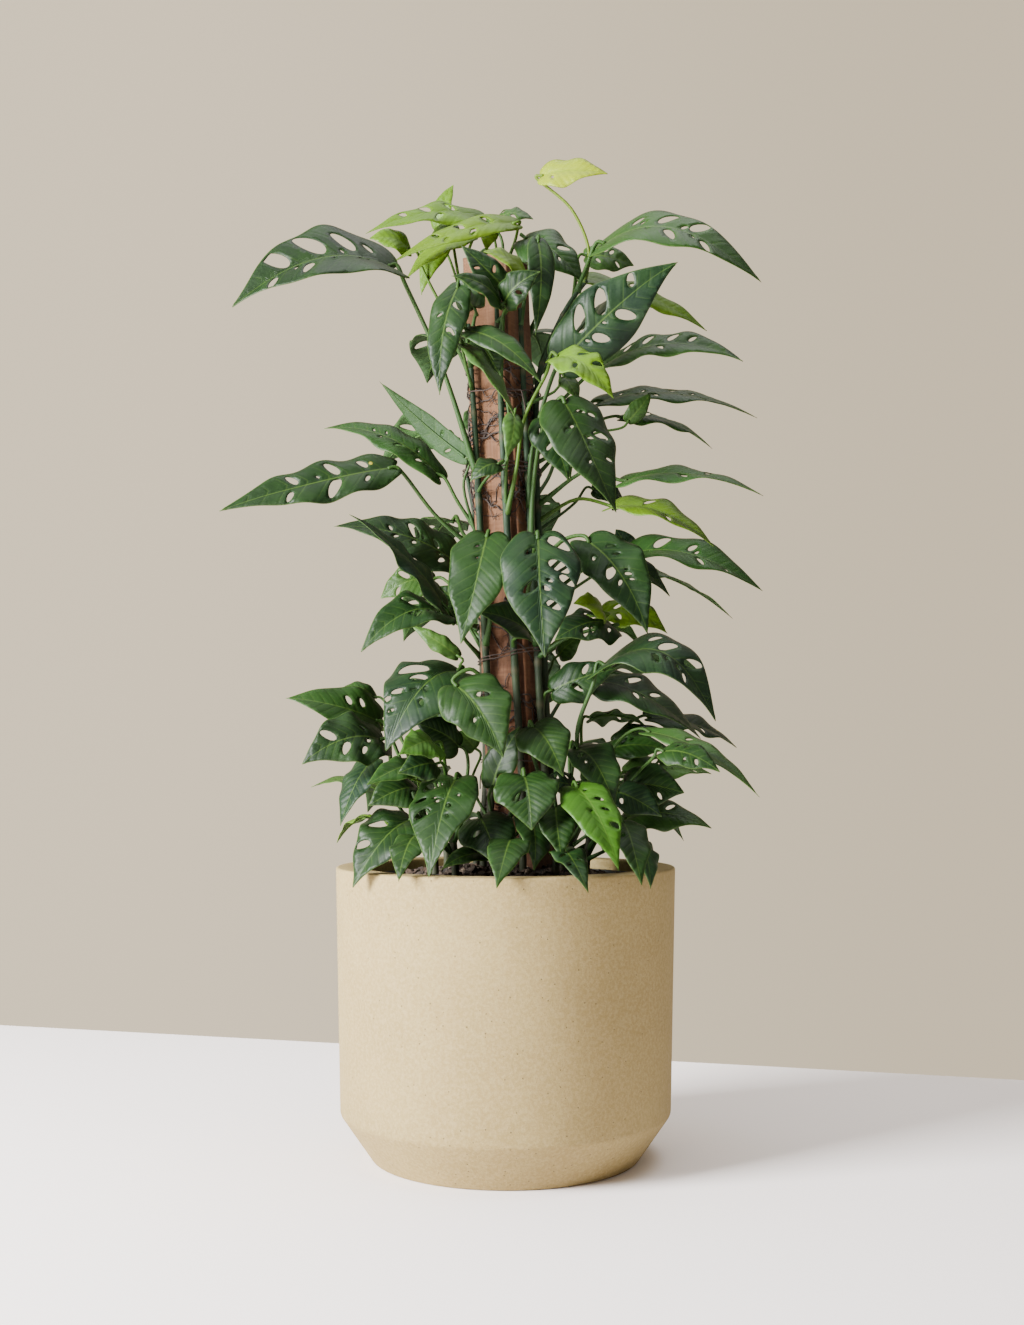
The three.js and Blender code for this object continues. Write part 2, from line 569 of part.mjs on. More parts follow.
        [[0.3, 0.45, 0.3]]],
      [400, [[-44, 430, 44]], [-56, 440, 70], [-100, 410, 126], 56, [-0.3, 0.7, 0.65], 15,
        [[0.3, 0.45, 0.3]]],
    ],
  },
  vine_left: {
    stem: besidePost(-29, 5, [
      [-14, 0, 230], [-14, 0, 290], [-4, 0, 340],
      [0, 0, 500], [-1, 0, 600], [-8, 0, 650],
    ]),
    leaves: [
      // Long dark leaf, middle left
      [572, [[-66, 606, -6], [-97, 646, -12]], [-112, 651, -16], [-274, 615, -50], 48, [0.1, -0.78, 0.6],
        7, [[0.34, -0.45, 0.46]]],
      [593, [[-46, 620, 2]], [-66, 646, 6], [-172, 692, 26], 42, [0.2, -0.65, 0.7], 14,
        [[0.34, -0.28, 0.24]]],
      [585, [[-40, 636, -8]], [-40, 663, -12], [-120, 735, 12], 24, [-0.5, 0.45, 0.6], 9, []],
      // Cluster on the left of the post
      [535, [[-44, 548, -12]], [-50, 563, -26], [-164, 600, -56], 52, [0, -0.85, 0.5], 12,
        [[0.38, 0.33, 0.34], [0.18, 0.2, 0.2], [0.12, -0.4, 0.18]]],
      [500, [[-48, 508, -36]], [-62, 525, -60], [-150, 612, -98], 42, [0.55, -0.45, 0.5], 8, []],
      [510, [[-48, 536, -2]], [-70, 545, 4], [-119, 528, 2], 38, [0, -0.85, 0.45], 10, [[0.45, 0.4, 0.32]]],
      [470, [[-42, 494, -22]], [-50, 506, -40], [-139, 480, -88], 50, [0, -0.62, 0.8], 23,
        [[0.2, 0.35, 0.28], [0.4, 0.42, 0.34], [0.42, -0.3, 0.26]]],
      [440, [[-44, 462, -8]], [-47, 474, -16], [-90, 503, -10], 18, [0, -0.9, 0.4], 6, []],
      [480, [[-38, 506, 6]], [-44, 516, 8], [-65, 540, 4], 30, [0, -1, 0.2], 5, []],
      // Broad leaf, lower left
      [415, [[-38, 444, -20]], [-46, 458, -36], [-115, 383, -90], 82, [-0.2, -0.85, 0.55], 23,
        [[0.3, 0.52, 0.34], [0.36, 0.24, 0.2], [0.56, 0.4, 0.16], [0.66, 0.56, 0.14], [0.56, -0.25, 0.12]]],
      [395, [[-58, 430, -12]], [-72, 432, -26], [-56, 398, -44], 32, [0, -0.9, 0.4], 6, []],
    ],
  },
  shoot_left: {
    stem: inSoil(-66, -34, [[0, 0, 230], [0, 0, 284], [-8, -4, 318]]),
    leaves: [
      // Low leaves reaching left
      [295, [[-108, 366, -46]], [-120, 393, -66], [-195, 372, -100], 56, [0, -0.85, 0.55], 13,
        [[0.62, 0.3, 0.28], [0.5, -0.35, 0.26], [0.3, -0.55, 0.16]]],
      [308, [[-104, 384, -28]], [-124, 412, -36], [-210, 435, -58], 48, [0.1, -0.85, 0.5], 10, []],
      [301, [[-94, 384, -10]], [-118, 408, -16], [-154, 416, -28], 24, [0, -0.8, 0.6], 5, []],
      [288, [[-112, 346, -50]], [-128, 372, -60], [-158, 312, -88], 40, [-0.5, -0.8, 0.3], 7, []],
      [281, [[-92, 330, -8]], [-118, 348, 0], [-185, 350, 18], 30, [0, -0.4, 0.9], 7, []],
      [315, [[-100, 398, -16]], [-126, 434, -10], [-161, 438, -6], 18, [0, -0.6, 0.8], 10, []],
    ],
  },
  shoot_front_left: {
    stem: inSoil(-46, -62, [[0, 0, 230], [0, 0, 284], [-5, -8, 326]]),
    leaves: [
      // Broad leaf with holes, front left
      [300, [[-36, 340, -72]], [-48, 355, -84], [-74, 264, -152], 61, [-0.25, -1, 0.45], 12,
        [[0.16, 0.5, 0.3], [0.33, 0.7, 0.18], [0.48, 0.55, 0.26]]],
      [290, [[-78, 314, -64]], [-92, 316, -76], [-147, 254, -112], 56, [-0.2, -0.8, 0.6], 14,
        [[0.3, 0.5, 0.32], [0.6, 0.5, 0.3]]],
      [286, [[-72, 302, -86]], [-86, 302, -106], [-103, 258, -152], 32, [-0.2, -0.9, 0.5], 6, []],
      [295, [[-66, 330, -62]], [-85, 346, -76], [-132, 331, -104], 42, [0, -0.75, 0.65], 9, []],
      [309, [[-56, 350, -70]], [-68, 370, -92], [-104, 362, -116], 32, [0, -0.85, 0.5], 6, []],
      [323, [[-58, 372, -66]], [-69, 390, -106], [-103, 380, -142], 38, [0, -0.9, 0.5], 8, []],
      [304, [[-78, 350, -50]], [-93, 357, -54], [-119, 364, -60], 16, [0, -0.8, 0.55], 3, []],
      [318, [[-70, 358, -62]], [-84, 368, -80], [-134, 350, -118], 30, [-0.1, -0.8, 0.6], 8, []],
      [314, [[-36, 364, -58]], [-46, 388, -58], [-86, 410, -66], 40, [0, -0.85, 0.55], 9, []],
    ],
  },
  shoot_front: {
    stem: inSoil(-4, -74, [[0, 0, 230], [0, 0, 284], [-2, -6, 308]]),
    leaves: [
      // Leaves over the front of the pot
      [301, [[14, 346, -84]], [18, 358, -100], [25, 306, -128], 58, [0.05, -1, 0.35], 8,
        [[0.45, 0.25, 0.26]]],
      [289, [[-20, 308, -84]], [-24, 318, -92], [-8, 272, -136], 52, [-0.15, -1, 0.45], 7,
        [[0.4, 0.35, 0.2]]],
      [285, [[2, 296, -94]], [6, 298, -112], [-9, 252, -178], 36, [-0.2, -0.9, 0.6], 9, []],
      [293, [[14, 308, -78]], [20, 318, -84], [27, 268, -144], 36, [0.3, -0.9, 0.6], 9, []],
      [297, [[-16, 336, -72]], [-12, 350, -78], [14, 407, -80], 32, [-0.4, -1, 0], 6, []],
      [281, [[-10, 286, -90]], [-18, 282, -98], [-62, 270, -128], 24, [0, -0.5, 0.85], 6, []],
      [305, [[-32, 352, -60]], [-30, 386, -44], [-48, 402, -46], 22, [0, -0.9, 0.3], 3, []],
    ],
  },
  shoot_front_right: {
    stem: inSoil(46, -60, [[0, 0, 230], [0, 0, 284], [6, -8, 312]]),
    leaves: [
      // Lime leaf with holes, front right
      [301, [[62, 338, -84]], [69, 347, -100], [109, 270, -154], 46, [0.15, -1, 0.4], 10,
        [[0.6, -0.5, 0.28]]],
      [305, [[64, 368, -58]], [70, 384, -62], [105, 330, -92], 42, [0.25, -0.9, 0.45], 14, []],
      [309, [[26, 380, -64]], [27, 405, -82], [55, 359, -112], 48, [0, -0.95, 0.45], 9, []],
      [293, [[50, 320, -78]], [48, 329, -92], [54, 279, -132], 36, [0, -1, 0.4], 7, []],
      [297, [[62, 334, -56]], [67, 347, -62], [32, 351, -78], 34, [0, -0.8, 0.6], 7, []],
      [281, [[56, 284, -96]], [54, 288, -108], [80, 248, -168], 30, [0.1, -0.9, 0.6], 9, []],
      [285, [[92, 312, -86]], [112, 314, -98], [131, 255, -142], 34, [0.3, -0.85, 0.5], 9, []],
      [289, [[68, 306, -66]], [80, 318, -74], [120, 294, -104], 36, [0, -0.8, 0.6], 7, []],
    ],
  },
  shoot_right: {
    stem: inSoil(76, -22, [[0, 0, 230], [0, 0, 284], [9, -6, 336]]),
    leaves: [
      // Big leaf, lower right
      [325, [[68, 398, -56], [84, 448, -70]], [96, 464, -72], [201, 414, -98], 64, [0.1, -0.52, 0.85], 40,
        [[0.3, -0.5, 0.2], [0.42, -0.3, 0.3], [0.64, -0.32, 0.28], [0.4, 0.42, 0.2], [0.66, 0.35, 0.16]]],
      [321, [[72, 388, 2]], [82, 414, 12], [134, 407, 20], 38, [0, 0.35, 0.95], 6, [[0.5, -0.4, 0.25]]],
      [317, [[102, 384, -30], [120, 402, -42]], [138, 400, -50], [243, 342, -98], 30, [0.2, -0.6, 0.75],
        9, []],
      [305, [[126, 362, -58], [142, 378, -72]], [152, 382, -78], [206, 363, -106], 30, [0, -0.75, 0.65],
        7, []],
      [309, [[92, 374, -6]], [102, 385, -6], [158, 384, -14], 34, [0, -0.7, 0.7], 7, []],
      [301, [[104, 352, -8]], [118, 362, -8], [196, 362, 0], 42, [0, -0.65, 0.75], 9, [[0.3, -0.4, 0.22]]],
      [293, [[108, 340, -34]], [116, 350, -42], [171, 343, -52], 48, [0, -0.85, 0.55], 9, []],
      [289, [[104, 336, -54]], [108, 343, -62], [150, 321, -76], 34, [0, -0.85, 0.5], 7, []],
      [285, [[100, 318, -26]], [115, 318, -30], [197, 311, -52], 44, [0, -0.65, 0.75], 10,
        [[0.5, -0.4, 0.25]]],
      [329, [[106, 398, 20]], [138, 414, 30], [219, 387, 54], 42, [0, -0.55, 0.85], 9, [[0.3, -0.4, 0.28]]],
      [313, [[84, 378, 4]], [105, 392, 12], [152, 403, 20], 26, [0, -0.7, 0.7], 6, []],
      [297, [[70, 340, -30]], [74, 354, -36], [104, 362, -48], 26, [0, -0.9, 0.4], 6, []],
      [281, [[110, 296, -56]], [122, 300, -78], [139, 252, -118], 30, [0.4, -0.8, 0.5], 8, []],
    ],
  },
  shoot_back_right: {
    stem: inSoil(64, 56, [[0, 0, 230], [0, 0, 284], [6, 6, 312]]),
    leaves: [
      [300, [[86, 340, 76]], [92, 354, 92], [140, 334, 140], 52, [0.4, 0.6, 0.7], 14, [[0.3, 0.45, 0.3]]],
      [290, [[74, 318, 94]], [78, 330, 116], [92, 288, 176], 48, [0.2, 0.85, 0.5], 12, [[0.4, 0.4, 0.3]]],
      [281, [[110, 316, 60]], [122, 322, 66], [168, 300, 96], 40, [0.5, 0.4, 0.75], 10, [[0.4, 0.4, 0.3]]],
      [309, [[60, 370, 84]], [66, 388, 104], [96, 356, 158], 50, [0.3, 0.8, 0.6], 13, [[0.35, 0.45, 0.3]]],
    ],
  },
  shoot_back: {
    stem: inSoil(6, 76, [[0, 0, 230], [0, 0, 284], [0, 6, 312]]),
    leaves: [
      [300, [[6, 344, 96]], [8, 356, 112], [20, 310, 180], 52, [0.1, 0.9, 0.5], 12, [[0.35, 0.45, 0.3]]],
      [290, [[-12, 312, 104]], [-16, 320, 122], [-30, 280, 186], 44, [-0.1, 0.9, 0.5], 10, []],
      [309, [[22, 378, 92]], [26, 392, 112], [44, 348, 170], 48, [0.2, 0.85, 0.5], 12, [[0.35, 0.45, 0.3]]],
      [281, [[36, 308, 106]], [40, 318, 128], [60, 284, 184], 36, [0.2, 0.85, 0.5], 9, []],
    ],
  },
  shoot_back_left: {
    stem: inSoil(-58, 50, [[0, 0, 230], [0, 0, 284], [-6, 6, 312]]),
    leaves: [
      [300, [[-82, 342, 72]], [-90, 354, 90], [-130, 326, 136], 52, [-0.4, 0.6, 0.7], 14,
        [[0.3, 0.45, 0.3]]],
      [309, [[-62, 352, 84]], [-68, 366, 104], [-84, 322, 168], 52, [-0.2, 0.85, 0.5], 12,
        [[0.35, 0.45, 0.3]]],
      [281, [[-64, 312, 96]], [-70, 320, 116], [-88, 284, 170], 40, [-0.2, 0.85, 0.5], 10, []],
      [290, [[-112, 314, 42]], [-122, 320, 46], [-160, 296, 66], 36, [-0.5, 0.3, 0.8], 9, []],
    ],
  },
};

// The finished pieces
const LEAF_GREEN = { color: 0x3f6b34, roughness: 0.45, metalness: 0 };
const finishes = {
  planter: { color: 0xdccfb0, roughness: 0.85, metalness: 0 },
  grow_pot: { color: 0x1b1c1f, roughness: 0.5, metalness: 0 },
  soil: { color: 0x2b221c, roughness: 0.95, metalness: 0 },
  post: { color: 0x9c5f42, roughness: 0.9, metalness: 0 },
};

const group = new THREE.Group();

function place(name, solid, finish) {
  const mesh = new THREE.Mesh(geometryFrom(solid), new THREE.MeshStandardMaterial(finish));
  mesh.name = name;
  group.add(mesh);
}

function plantSolid({ stem, leaves }) {
  const curve = stemCurve(stem);
  let plant = rod(curve, STEM_RADIUS, STEM_SIDES, stemSteps(curve));
  for (const leaf of leaves) {
    plant = plant.add(leafSolid(leaf, stemAt(curve, leaf[0])));
  }
  return plant;
}

place('planter', planterSolid(), finishes.planter);
place('grow_pot', growPotSolid(), finishes.grow_pot);
place('soil', soilSolid(Object.values(plants).map((plant) => plant.stem)), finishes.soil);
place('post', postSolid(0), finishes.post);
for (const [name, plant] of Object.entries(plants)) {
  place(name, plantSolid(plant), LEAF_GREEN);
}

export default group;
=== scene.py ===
"""Looks for the potted swiss cheese vine: fine leaves, stems, post, soil and planter around the
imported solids. +Z up, -Y is the front. Shapes are in millimetres, stage and lights in metres."""

import math
import random

import bpy
from mathutils import Matrix, Quaternion, Vector, noise
from mathutils.geometry import delaunay_2d_cdt


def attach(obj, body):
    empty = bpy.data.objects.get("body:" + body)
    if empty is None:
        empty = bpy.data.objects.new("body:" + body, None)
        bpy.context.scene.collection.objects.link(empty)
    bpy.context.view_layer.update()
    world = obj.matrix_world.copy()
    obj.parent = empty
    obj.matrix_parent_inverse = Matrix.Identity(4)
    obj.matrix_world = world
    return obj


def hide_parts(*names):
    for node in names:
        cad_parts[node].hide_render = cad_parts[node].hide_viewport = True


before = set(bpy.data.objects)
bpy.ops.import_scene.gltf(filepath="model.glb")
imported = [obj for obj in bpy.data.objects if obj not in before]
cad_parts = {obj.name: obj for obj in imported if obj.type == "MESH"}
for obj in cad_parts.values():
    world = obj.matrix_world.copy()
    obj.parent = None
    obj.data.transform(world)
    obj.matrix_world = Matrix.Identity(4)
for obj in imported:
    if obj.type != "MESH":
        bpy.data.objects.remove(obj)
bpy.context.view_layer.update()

MM = 0.001

# Camera: level, on the planter's axis. Leaf places are noted as seen from the eye distance
EYE_DISTANCE = 1303
EYE_HEIGHT = 371
CAMERA_DISTANCE = 1450
LENS = 41.5
SHIFT_X = 0.0048
SHIFT_Y = 0.0761

# Floor, surroundings and lights: name, place, target, size and watts
FLOOR_COLOUR = (0.96, 0.895, 0.875)
FLOOR_DRIFT = 0.97
FLOOR_END = 0.511
FLOOR_SLANT = -0.2839
FLOOR_REACH = 5
BACKDROP_AWAY = 3.4
BACKDROP_REACH = (5, -3, 5)
# Backdrop glow at its left and right ends: painted light falloff, brighter towards the key light
BACKDROP_LIT_LEFT = (1.13, 0.95, 0.68)
BACKDROP_SHADED_RIGHT = (0.87, 0.72, 0.51)
SURROUNDINGS = (0.33, 0.31, 0.285)
LIGHTS = [
    ("key", (-2.35, -1.33, 1.2), (0, 0, 0.3), (1.1, 1.1), 475),
    ("overhead", (0.3, 0.1, 3.2), (0, 0, 0), (2.4, 2.4), 80),
]

# Planter and grow pot
PLANTER_HEIGHT = 274
PLANTER_RIM_RADIUS = 160
PLANTER_CREASE_RADIUS = 156
PLANTER_CREASE_HEIGHT = 44
PLANTER_FOOT_RADIUS = 126
PLANTER_WALL = 24
PLANTER_FLOOR = 20
PLANTER_TAPER = 8
PLANTER_ROUNDING = 2.6
GROW_POT_HEIGHT = 244
GROW_POT_TOP_RADIUS = 128
GROW_POT_FOOT_RADIUS = 106
GROW_POT_WALL = 2
GROW_POT_LIP = 4
GROW_POT_LIP_HEIGHT = 10
GROW_POT_ROUNDING = 0.8
GAP = 0.4

# Soil: its profile as share of the radius and height, lumps as width and height, and bark chips
SOIL_RADIUS = 123
SOIL_PROFILE = [(0, 274), (0.4, 272), (0.8, 264), (1, 256)]
SOIL_WALL_TOP = 248
SOIL_LUMPS = [(16, 3, 2.4), (5, 9, 1.3)]
SOIL_SIDES = 96
SOIL_RINGS = 34
SOIL_CHIPS = 900
CHIP_SIZE = (2.2, 6.5)
CHIP_TONE = (0.085, 0.050, 0.030)
PALE_CHIP_TONE = (0.22, 0.155, 0.10)
PALE_CHIP_CHANCE = 0.12

# Post: size, lean, and how its faces and corners are worn
POST_WIDTH = 46.7
POST_TURN = 26.6
POST_LEAN = -0.0463
POST_FOOT = (29.3, 0)
POST_BOTTOM = 70
POST_TOP = 848
POST_ACROSS = 20
POST_STEP = 3.2
POST_WEAR_START = 0.88
POST_END_SUNK = 1.2

# Ties around post and vines: height and turns
TIES = [(372, 1), (470, 2), (566, 2), (642, 3), (716, 1)]
TIE_RADIUS = 0.6
TIE_RISE = 2.4

# Stems and petioles
STEM_BOTTOM = 230
STEM_UPRIGHT = 290
SHOOT_UPRIGHT = 284
STEM_RADIUS = 3.6
FIRST_NODE = (20, 45)
NODE_SPACING = (34, 58)
PETIOLE_RADIUS = 1.55
KNEE = 8

# Aerial roots
ROOTS_A_VINE = 32
ROOT_HEIGHTS = (345, 425, 505, 572, 642, 642, 700, 735)
ROOT_SPREAD = 13
ROOT_LOWEST = 300
ROOT_HIGHEST = 745
ROOT_RADIUS = (0.45, 1.05)

# Blades
BLADE_THICKNESS = 0.8
FOLD = 0.3
CURL = 0.3
TIP_SAG_START = 0.65
VEIN_ANGLE = math.radians(52)
HOLE_SLIM = 0.42
HOLE_EDGE = 2.2
HOLES_APART = 1.4
BROAD_HALF = 22
BLADE_GRID = (3.4, 4.0)
MARGIN_STEP = (2.2, 2.6)
MARGIN_UNEVEN = 0.05

# How much blades differ, as ranges for random draws
MARGIN_LOBES = (1.5, 2.6)
EDGE_WAVES = (1.8, 3.3)
EDGE_WAVE_SIZE = (0.5, 1.2)
SIDEWAYS_SWEEP = (0.05, 0.15)
SIDES_UNEVEN = (-0.07, 0.07)
CUP = (-0.20, 0.06)
TWIST = (-0.38, 0.38)
FOLD_SIZE = (0.8, 1.4)
TIP_SAG = (0, 0.3)
SIDE_VEINS = (8.2, 9.6)
SHADE = (0.86, 1.16)
HUE = (-0.10, 0.10)

# Small holes beside the midrib: least width and holes of the leaf, their number and size
PIN_HOLE_WIDTH = 40
PIN_HOLE_LEAST = 3
PIN_HOLES = (3, 6)
PIN_HOLE_SIZE = (0.07, 0.13)

# Leaves without noted holes: least width for holes, their chance, number and size
SLIT_WIDTH = 28
SLIT_CHANCE = 0.7
SLITS = (1, 4)
SLIT_SIZE = (0.14, 0.30)

# The blade's outline: share of the length, share of the half width
MARGIN = [(-0.035, 0.0), (-0.065, 0.18), (-0.07, 0.4), (-0.03, 0.63), (0.06, 0.83), (0.18, 0.96),
          (0.33, 1.0), (0.48, 0.9), (0.62, 0.71), (0.75, 0.47), (0.86, 0.24), (0.94, 0.09),
          (1.0, 0.0)]
MARGIN_BASE = 3

# Leaf colours, as the red, green and blue of the upper side
TONES = {
    "dark": (0.0033, 0.0138, 0.0024),
    # 'blue' is a deep green with a bluish cast that is a painted sheen, a reflection of the pale
    # surroundings
    "blue": (0.0033, 0.0134, 0.0053),
    "front": (0.0046, 0.0180, 0.0024),
    "mid": (0.0100, 0.0360, 0.0036),
    "olive": (0.0205, 0.0540, 0.0075),
    "pale": (0.0340, 0.0800, 0.0130),
    "fresh": (0.0210, 0.0660, 0.0024),
    "lime": (0.0700, 0.1350, 0.0022),
    "new": (0.1600, 0.2150, 0.0034),
}
FRESH_STALK = (0.024, 0.070, 0.005)


# Places and paths
def from_front(point):
    """A point noted as seen from the front, across, up and depth, slid along its line of sight."""
    across, up, depth = point
    reach = 1 + depth / EYE_DISTANCE
    return Vector((across * reach, depth, EYE_HEIGHT + (up - EYE_HEIGHT) * reach))


def post_axis(height):
    return Vector((POST_FOOT[0] + POST_LEAN * height, POST_FOOT[1], height))


def in_soil(dx, dy, top):
    """A short stem's path, from its place in the soil to its top."""
    points = [(0, 0, STEM_BOTTOM), (0, 0, SHOOT_UPRIGHT), top]
    return [Vector((dx + x, dy + y, height)) for x, y, height in points]


def beside_post(dx, dy, foot, points):
    """A vine's path beside the leaning post, upright at its foot."""
    path = []
    for x, y, height in [(*foot, STEM_BOTTOM), (*foot, STEM_UPRIGHT)] + points:
        axis = post_axis(max(height, STEM_UPRIGHT))
        path.append(Vector((axis.x + dx + x, axis.y + dy + y, height)))
    return path


def centripetal(points, share):
    """A point on the smooth curve through the points; share runs from 0 to 1."""
    last = len(points) - 1
    place = share * last
    i = min(int(place), last - 1)
    weight = place - i
    p1, p2 = points[i], points[i + 1]
    p0 = points[i - 1] if i > 0 else 2 * points[0] - points[1]
    p3 = points[i + 2] if i + 2 <= last else 2 * points[last] - points[last - 1]
    d1 = max((p2 - p1).length ** 0.5, 1e-4)
    d0 = max((p1 - p0).length ** 0.5, 1e-4)
    d2 = max((p3 - p2).length ** 0.5, 1e-4)
    t1 = ((p1 - p0) / d0 - (p2 - p0) / (d0 + d1) + (p2 - p1) / d1) * d1
    t2 = ((p2 - p1) / d1 - (p3 - p1) / (d1 + d2) + (p3 - p2) / d2) * d1
    bend2 = -3 * p1 + 3 * p2 - 2 * t1 - t2
    bend3 = 2 * p1 - 2 * p2 + t1 + t2
    return p1 + t1 * weight + bend2 * weight ** 2 + bend3 * weight ** 3


def path_length(points):
    return sum((b - a).length for a, b in zip(points, points[1:]))


def sampled(points, step):
    """Places along the smooth curve through the points, about a step apart."""
    count = max(6, int(path_length(points) / step))
    return [centripetal(points, k / count) for k in range(count + 1)]


def at_height(points, height):
    """The place where the rising curve through the points reaches the height."""
    low, high = 0.0, 1.0
    for _ in range(24):
        middle = (low + high) / 2
        if centripetal(points, middle).z < height:
            low = middle
        else:
            high = middle
    return centripetal(points, low)


def circle(radius, sides, offset=0.0):
    """Places around a circle, turned by a share of a step."""
    angles = [2 * math.pi * (k + offset) / sides for k in range(sides)]
    return [(radius * math.cos(angle), radius * math.sin(angle)) for angle in angles]


def read_off(pairs, place):
    """The value at a place, from pairs of a place and a value joined by straight lines."""
    for (x0, y0), (x1, y1) in zip(pairs, pairs[1:]):
        if place <= x1:
            return y0 + (y1 - y0) * (place - x0) / (x1 - x0)
    return pairs[-1][1]


def wobble(*place):
    return noise.noise(Vector(place))


class Build:
    """A mesh under construction: points in millimetres, faces with a slot, and values at points."""

    def __init__(self):
        self.points, self.faces, self.slots, self.uvs = [], [], [], []
        self.values = {"tone": [], "data": [], "more": []}

    def add(self, point, uv=(0, 0), tone=(0, 0, 0), data=(0, 0, 0), more=(0, 0, 0)):
        self.points.append(Vector(point) * MM)
        self.uvs.append(uv)
        for values, value in zip(self.values.values(), (tone, data, more)):
            values.extend(value)
        return len(self.points) - 1

    def face(self, corners, slot=0):
        self.faces.append(corners)
        self.slots.append(slot)

    def band(self, lower, upper, slot=0, first=0):
        """Faces between two rings, of which one may be a point. Each starts at its first corner."""
        count = max(len(lower), len(upper))
        for k in range(count):
            n = (k + 1) % count
            corners = [lower[k % len(lower)], lower[n % len(lower)], upper[n % len(upper)],
                       upper[k % len(upper)]]
            self.face(tuple(dict.fromkeys(corners[first:] + corners[:first])), slot)

    def tube(self, path, radii, sides, slot, tone=(0, 0, 0), seed=0.0, scars=None):
        """A round tube along a path, with a radius at each point. UV runs round and along."""
        before = normal = None
        run = 0.0
        for k, point in enumerate(path):
            tangent = (path[min(k + 1, len(path) - 1)] - path[max(k - 1, 0)]).normalized()
            if before:
                run += (point - path[k - 1]).length
                normal = (normal - tangent * normal.dot(tangent)).normalized()
            else:
                normal = tangent.orthogonal().normalized()
            other = tangent.cross(normal)
            ring = []
            for s, (across, up) in enumerate(circle(1, sides)):
                ring.append(self.add(point + (normal * across + other * up) * radii[k],
                                     (s / sides, run / 100), tone, (k / (len(path) - 1), seed, 0),
                                     (scars[k] if scars else 0, 0, 0)))
            if before:
                self.band(before, ring, slot)
            else:
                self.face(tuple(reversed(ring)), slot)
            before = ring
        self.face(tuple(before), slot)

    def piece(self, name, materials, node, smooth=True):
        """Puts the mesh in the scene, in the place of a node of the frame."""
        mesh = bpy.data.meshes.new(name)
        mesh.from_pydata(self.points, [], self.faces)
        for material in materials:
            mesh.materials.append(material)
        mesh.polygons.foreach_set("material_index", self.slots)
        mesh.polygons.foreach_set("use_smooth", [smooth] * len(self.faces))
        uvs = [part for loop in mesh.loops for part in self.uvs[loop.vertex_index]]
        mesh.uv_layers.new(name="place").data.foreach_set("uv", uvs)
        for label, values in self.values.items():
            mesh.attributes.new(label, "FLOAT_VECTOR", "POINT").data.foreach_set("vector", values)
        mesh.validate()
        mesh.update()
        obj = bpy.data.objects.new(name, mesh)
        bpy.context.scene.collection.objects.link(obj)
        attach(obj, "root")
        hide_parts(node)


# Each plant: its stem, and its leaves as the height where the petiole leaves the stem, points on
# the petiole, base, tip, width, the way the upper side faces, bow, holes and tone. A hole is noted
# as share of the length, share of the half width and size. Facing and holes are in hundredths
BACK_HOLES = (30, 45, 30, 45, -45, 30)
PLANTS = {}
PLANTS["vine_front_left"] = beside_post(-26, -20, (-10, -14), [(-1, -1, 340), (0, 0, 500), (0, 1,
    650), (-2, -1, 782)]), [
    # Long dark leaf, upper left
    (640, (-62, 752, -34, -96, 828, -36), (-112, 844, -38), (-262, 808, -80), 80, (10, -72, 68),
     23, (10, 35, 14, 24, 42, 32, 44, 45, 42, 66, 36, 36, 52, -38, 24, 74, -28, 22, 34, -14, 6,
     27, 12, 6), "dark"),
    # Dark leaf against the post
    (742, (-40, 800, -50), (-46, 824, -60), (-63, 723, -76), 36, (-30, -100, 15), 9, (20, -40, 34,
     45, -35, 30, 30, 40, 16), "dark"),
    (765, (-28, 800, -40), (-30, 806, -46), (-42, 840, -62), 32, (-50, -80, 20), 7, (), "dark"),
    # Narrow pale leaf across the post
    (720, (-39, 756, -50), (-38, 768, -64), (10, 700, -84), 26, (60, -70, 40), 7, (), "pale"),
    # Crumpled leaf at the tie
    (625, (-20, 640, -40), (-8, 656, -52), (-34, 640, -58), 24, (10, -80, 60), 6, (), "dark"),
    # Broad plain leaf in front
    (480, (-15, 510, -36, -19, 545, -42, -22, 568, -46), (-18, 586, -62), (-43, 487, -98), 57,
     (-25, -100, 35), 10, (12, 20, 10, 24, 10, 9), "front"),
    # Two broad leaves over the middle
    (395, (-10, 430, -72, -33, 461, -88), (-46, 444, -92), (-2, 378, -116), 60, (10, -95, 40), 9,
     (29, -35, 20, 50, 30, 10), "front"),
]
PLANTS["vine_front"] = beside_post(-1, -31.6, (1, -16), [(3, -3, 350), (1, -1, 500), (0, -1, 650),
    (0, -1, 806)]), [
    # Slit leaf and small leaves at the top of the post
    (715, (-3, 765, -44, 0, 808, -40), (0, 822, -42), (-43, 866, -52), 28, (-30, -90, 40), 6, (35,
     40, 25, 55, -40, 20), "dark"),
    (798, (14, 828, -44), (18, 838, -50), (-22, 860, -66), 30, (30, -70, 70), 6, (), "lime"),
    (760, (-2, 800, -46), (-6, 810, -60), (-52, 838, -84), 25, (10, -80, 60), 7, (), "dark"),
    # Folded dark leaf
    (780, (2, 804, -46), (0, 812, -60), (34, 842, -80), 30, (30, -90, 30), 7, (40, 40, 25), "dark"),
    (640, (4, 690, -46, -6, 745, -50, -26, 777, -54), (-35, 783, -64), (34, 737, -92), 27, (-15,
     -75, 65), 9, (), "front"),
    (735, (-26, 762, -36), (-24, 773, -42), (-5, 740, -50), 36, (-10, -100, 20), 5, (), "dark"),
    # Lime leaf in front of the post
    (600, (10, 650, -46, 18, 700, -52, 40, 746, -64), (50, 759, -70), (104, 720, -100), 40, (-10,
     -75, 65), 12, (30, -50, 28, 55, -50, 30, 40, 40, 25), "lime"),
    (610, (0, 640, -44, 4, 680, -50), (8, 702, -60), (0, 662, -70), 20, (30, -90, 40), 5, (),
     "pale"),
    # Plain leaf across the stems
    (478, (8, 490, -42), (22, 495, -56), (-31, 518, -78), 36, (0, -75, 65), 7, (), "dark"),
]
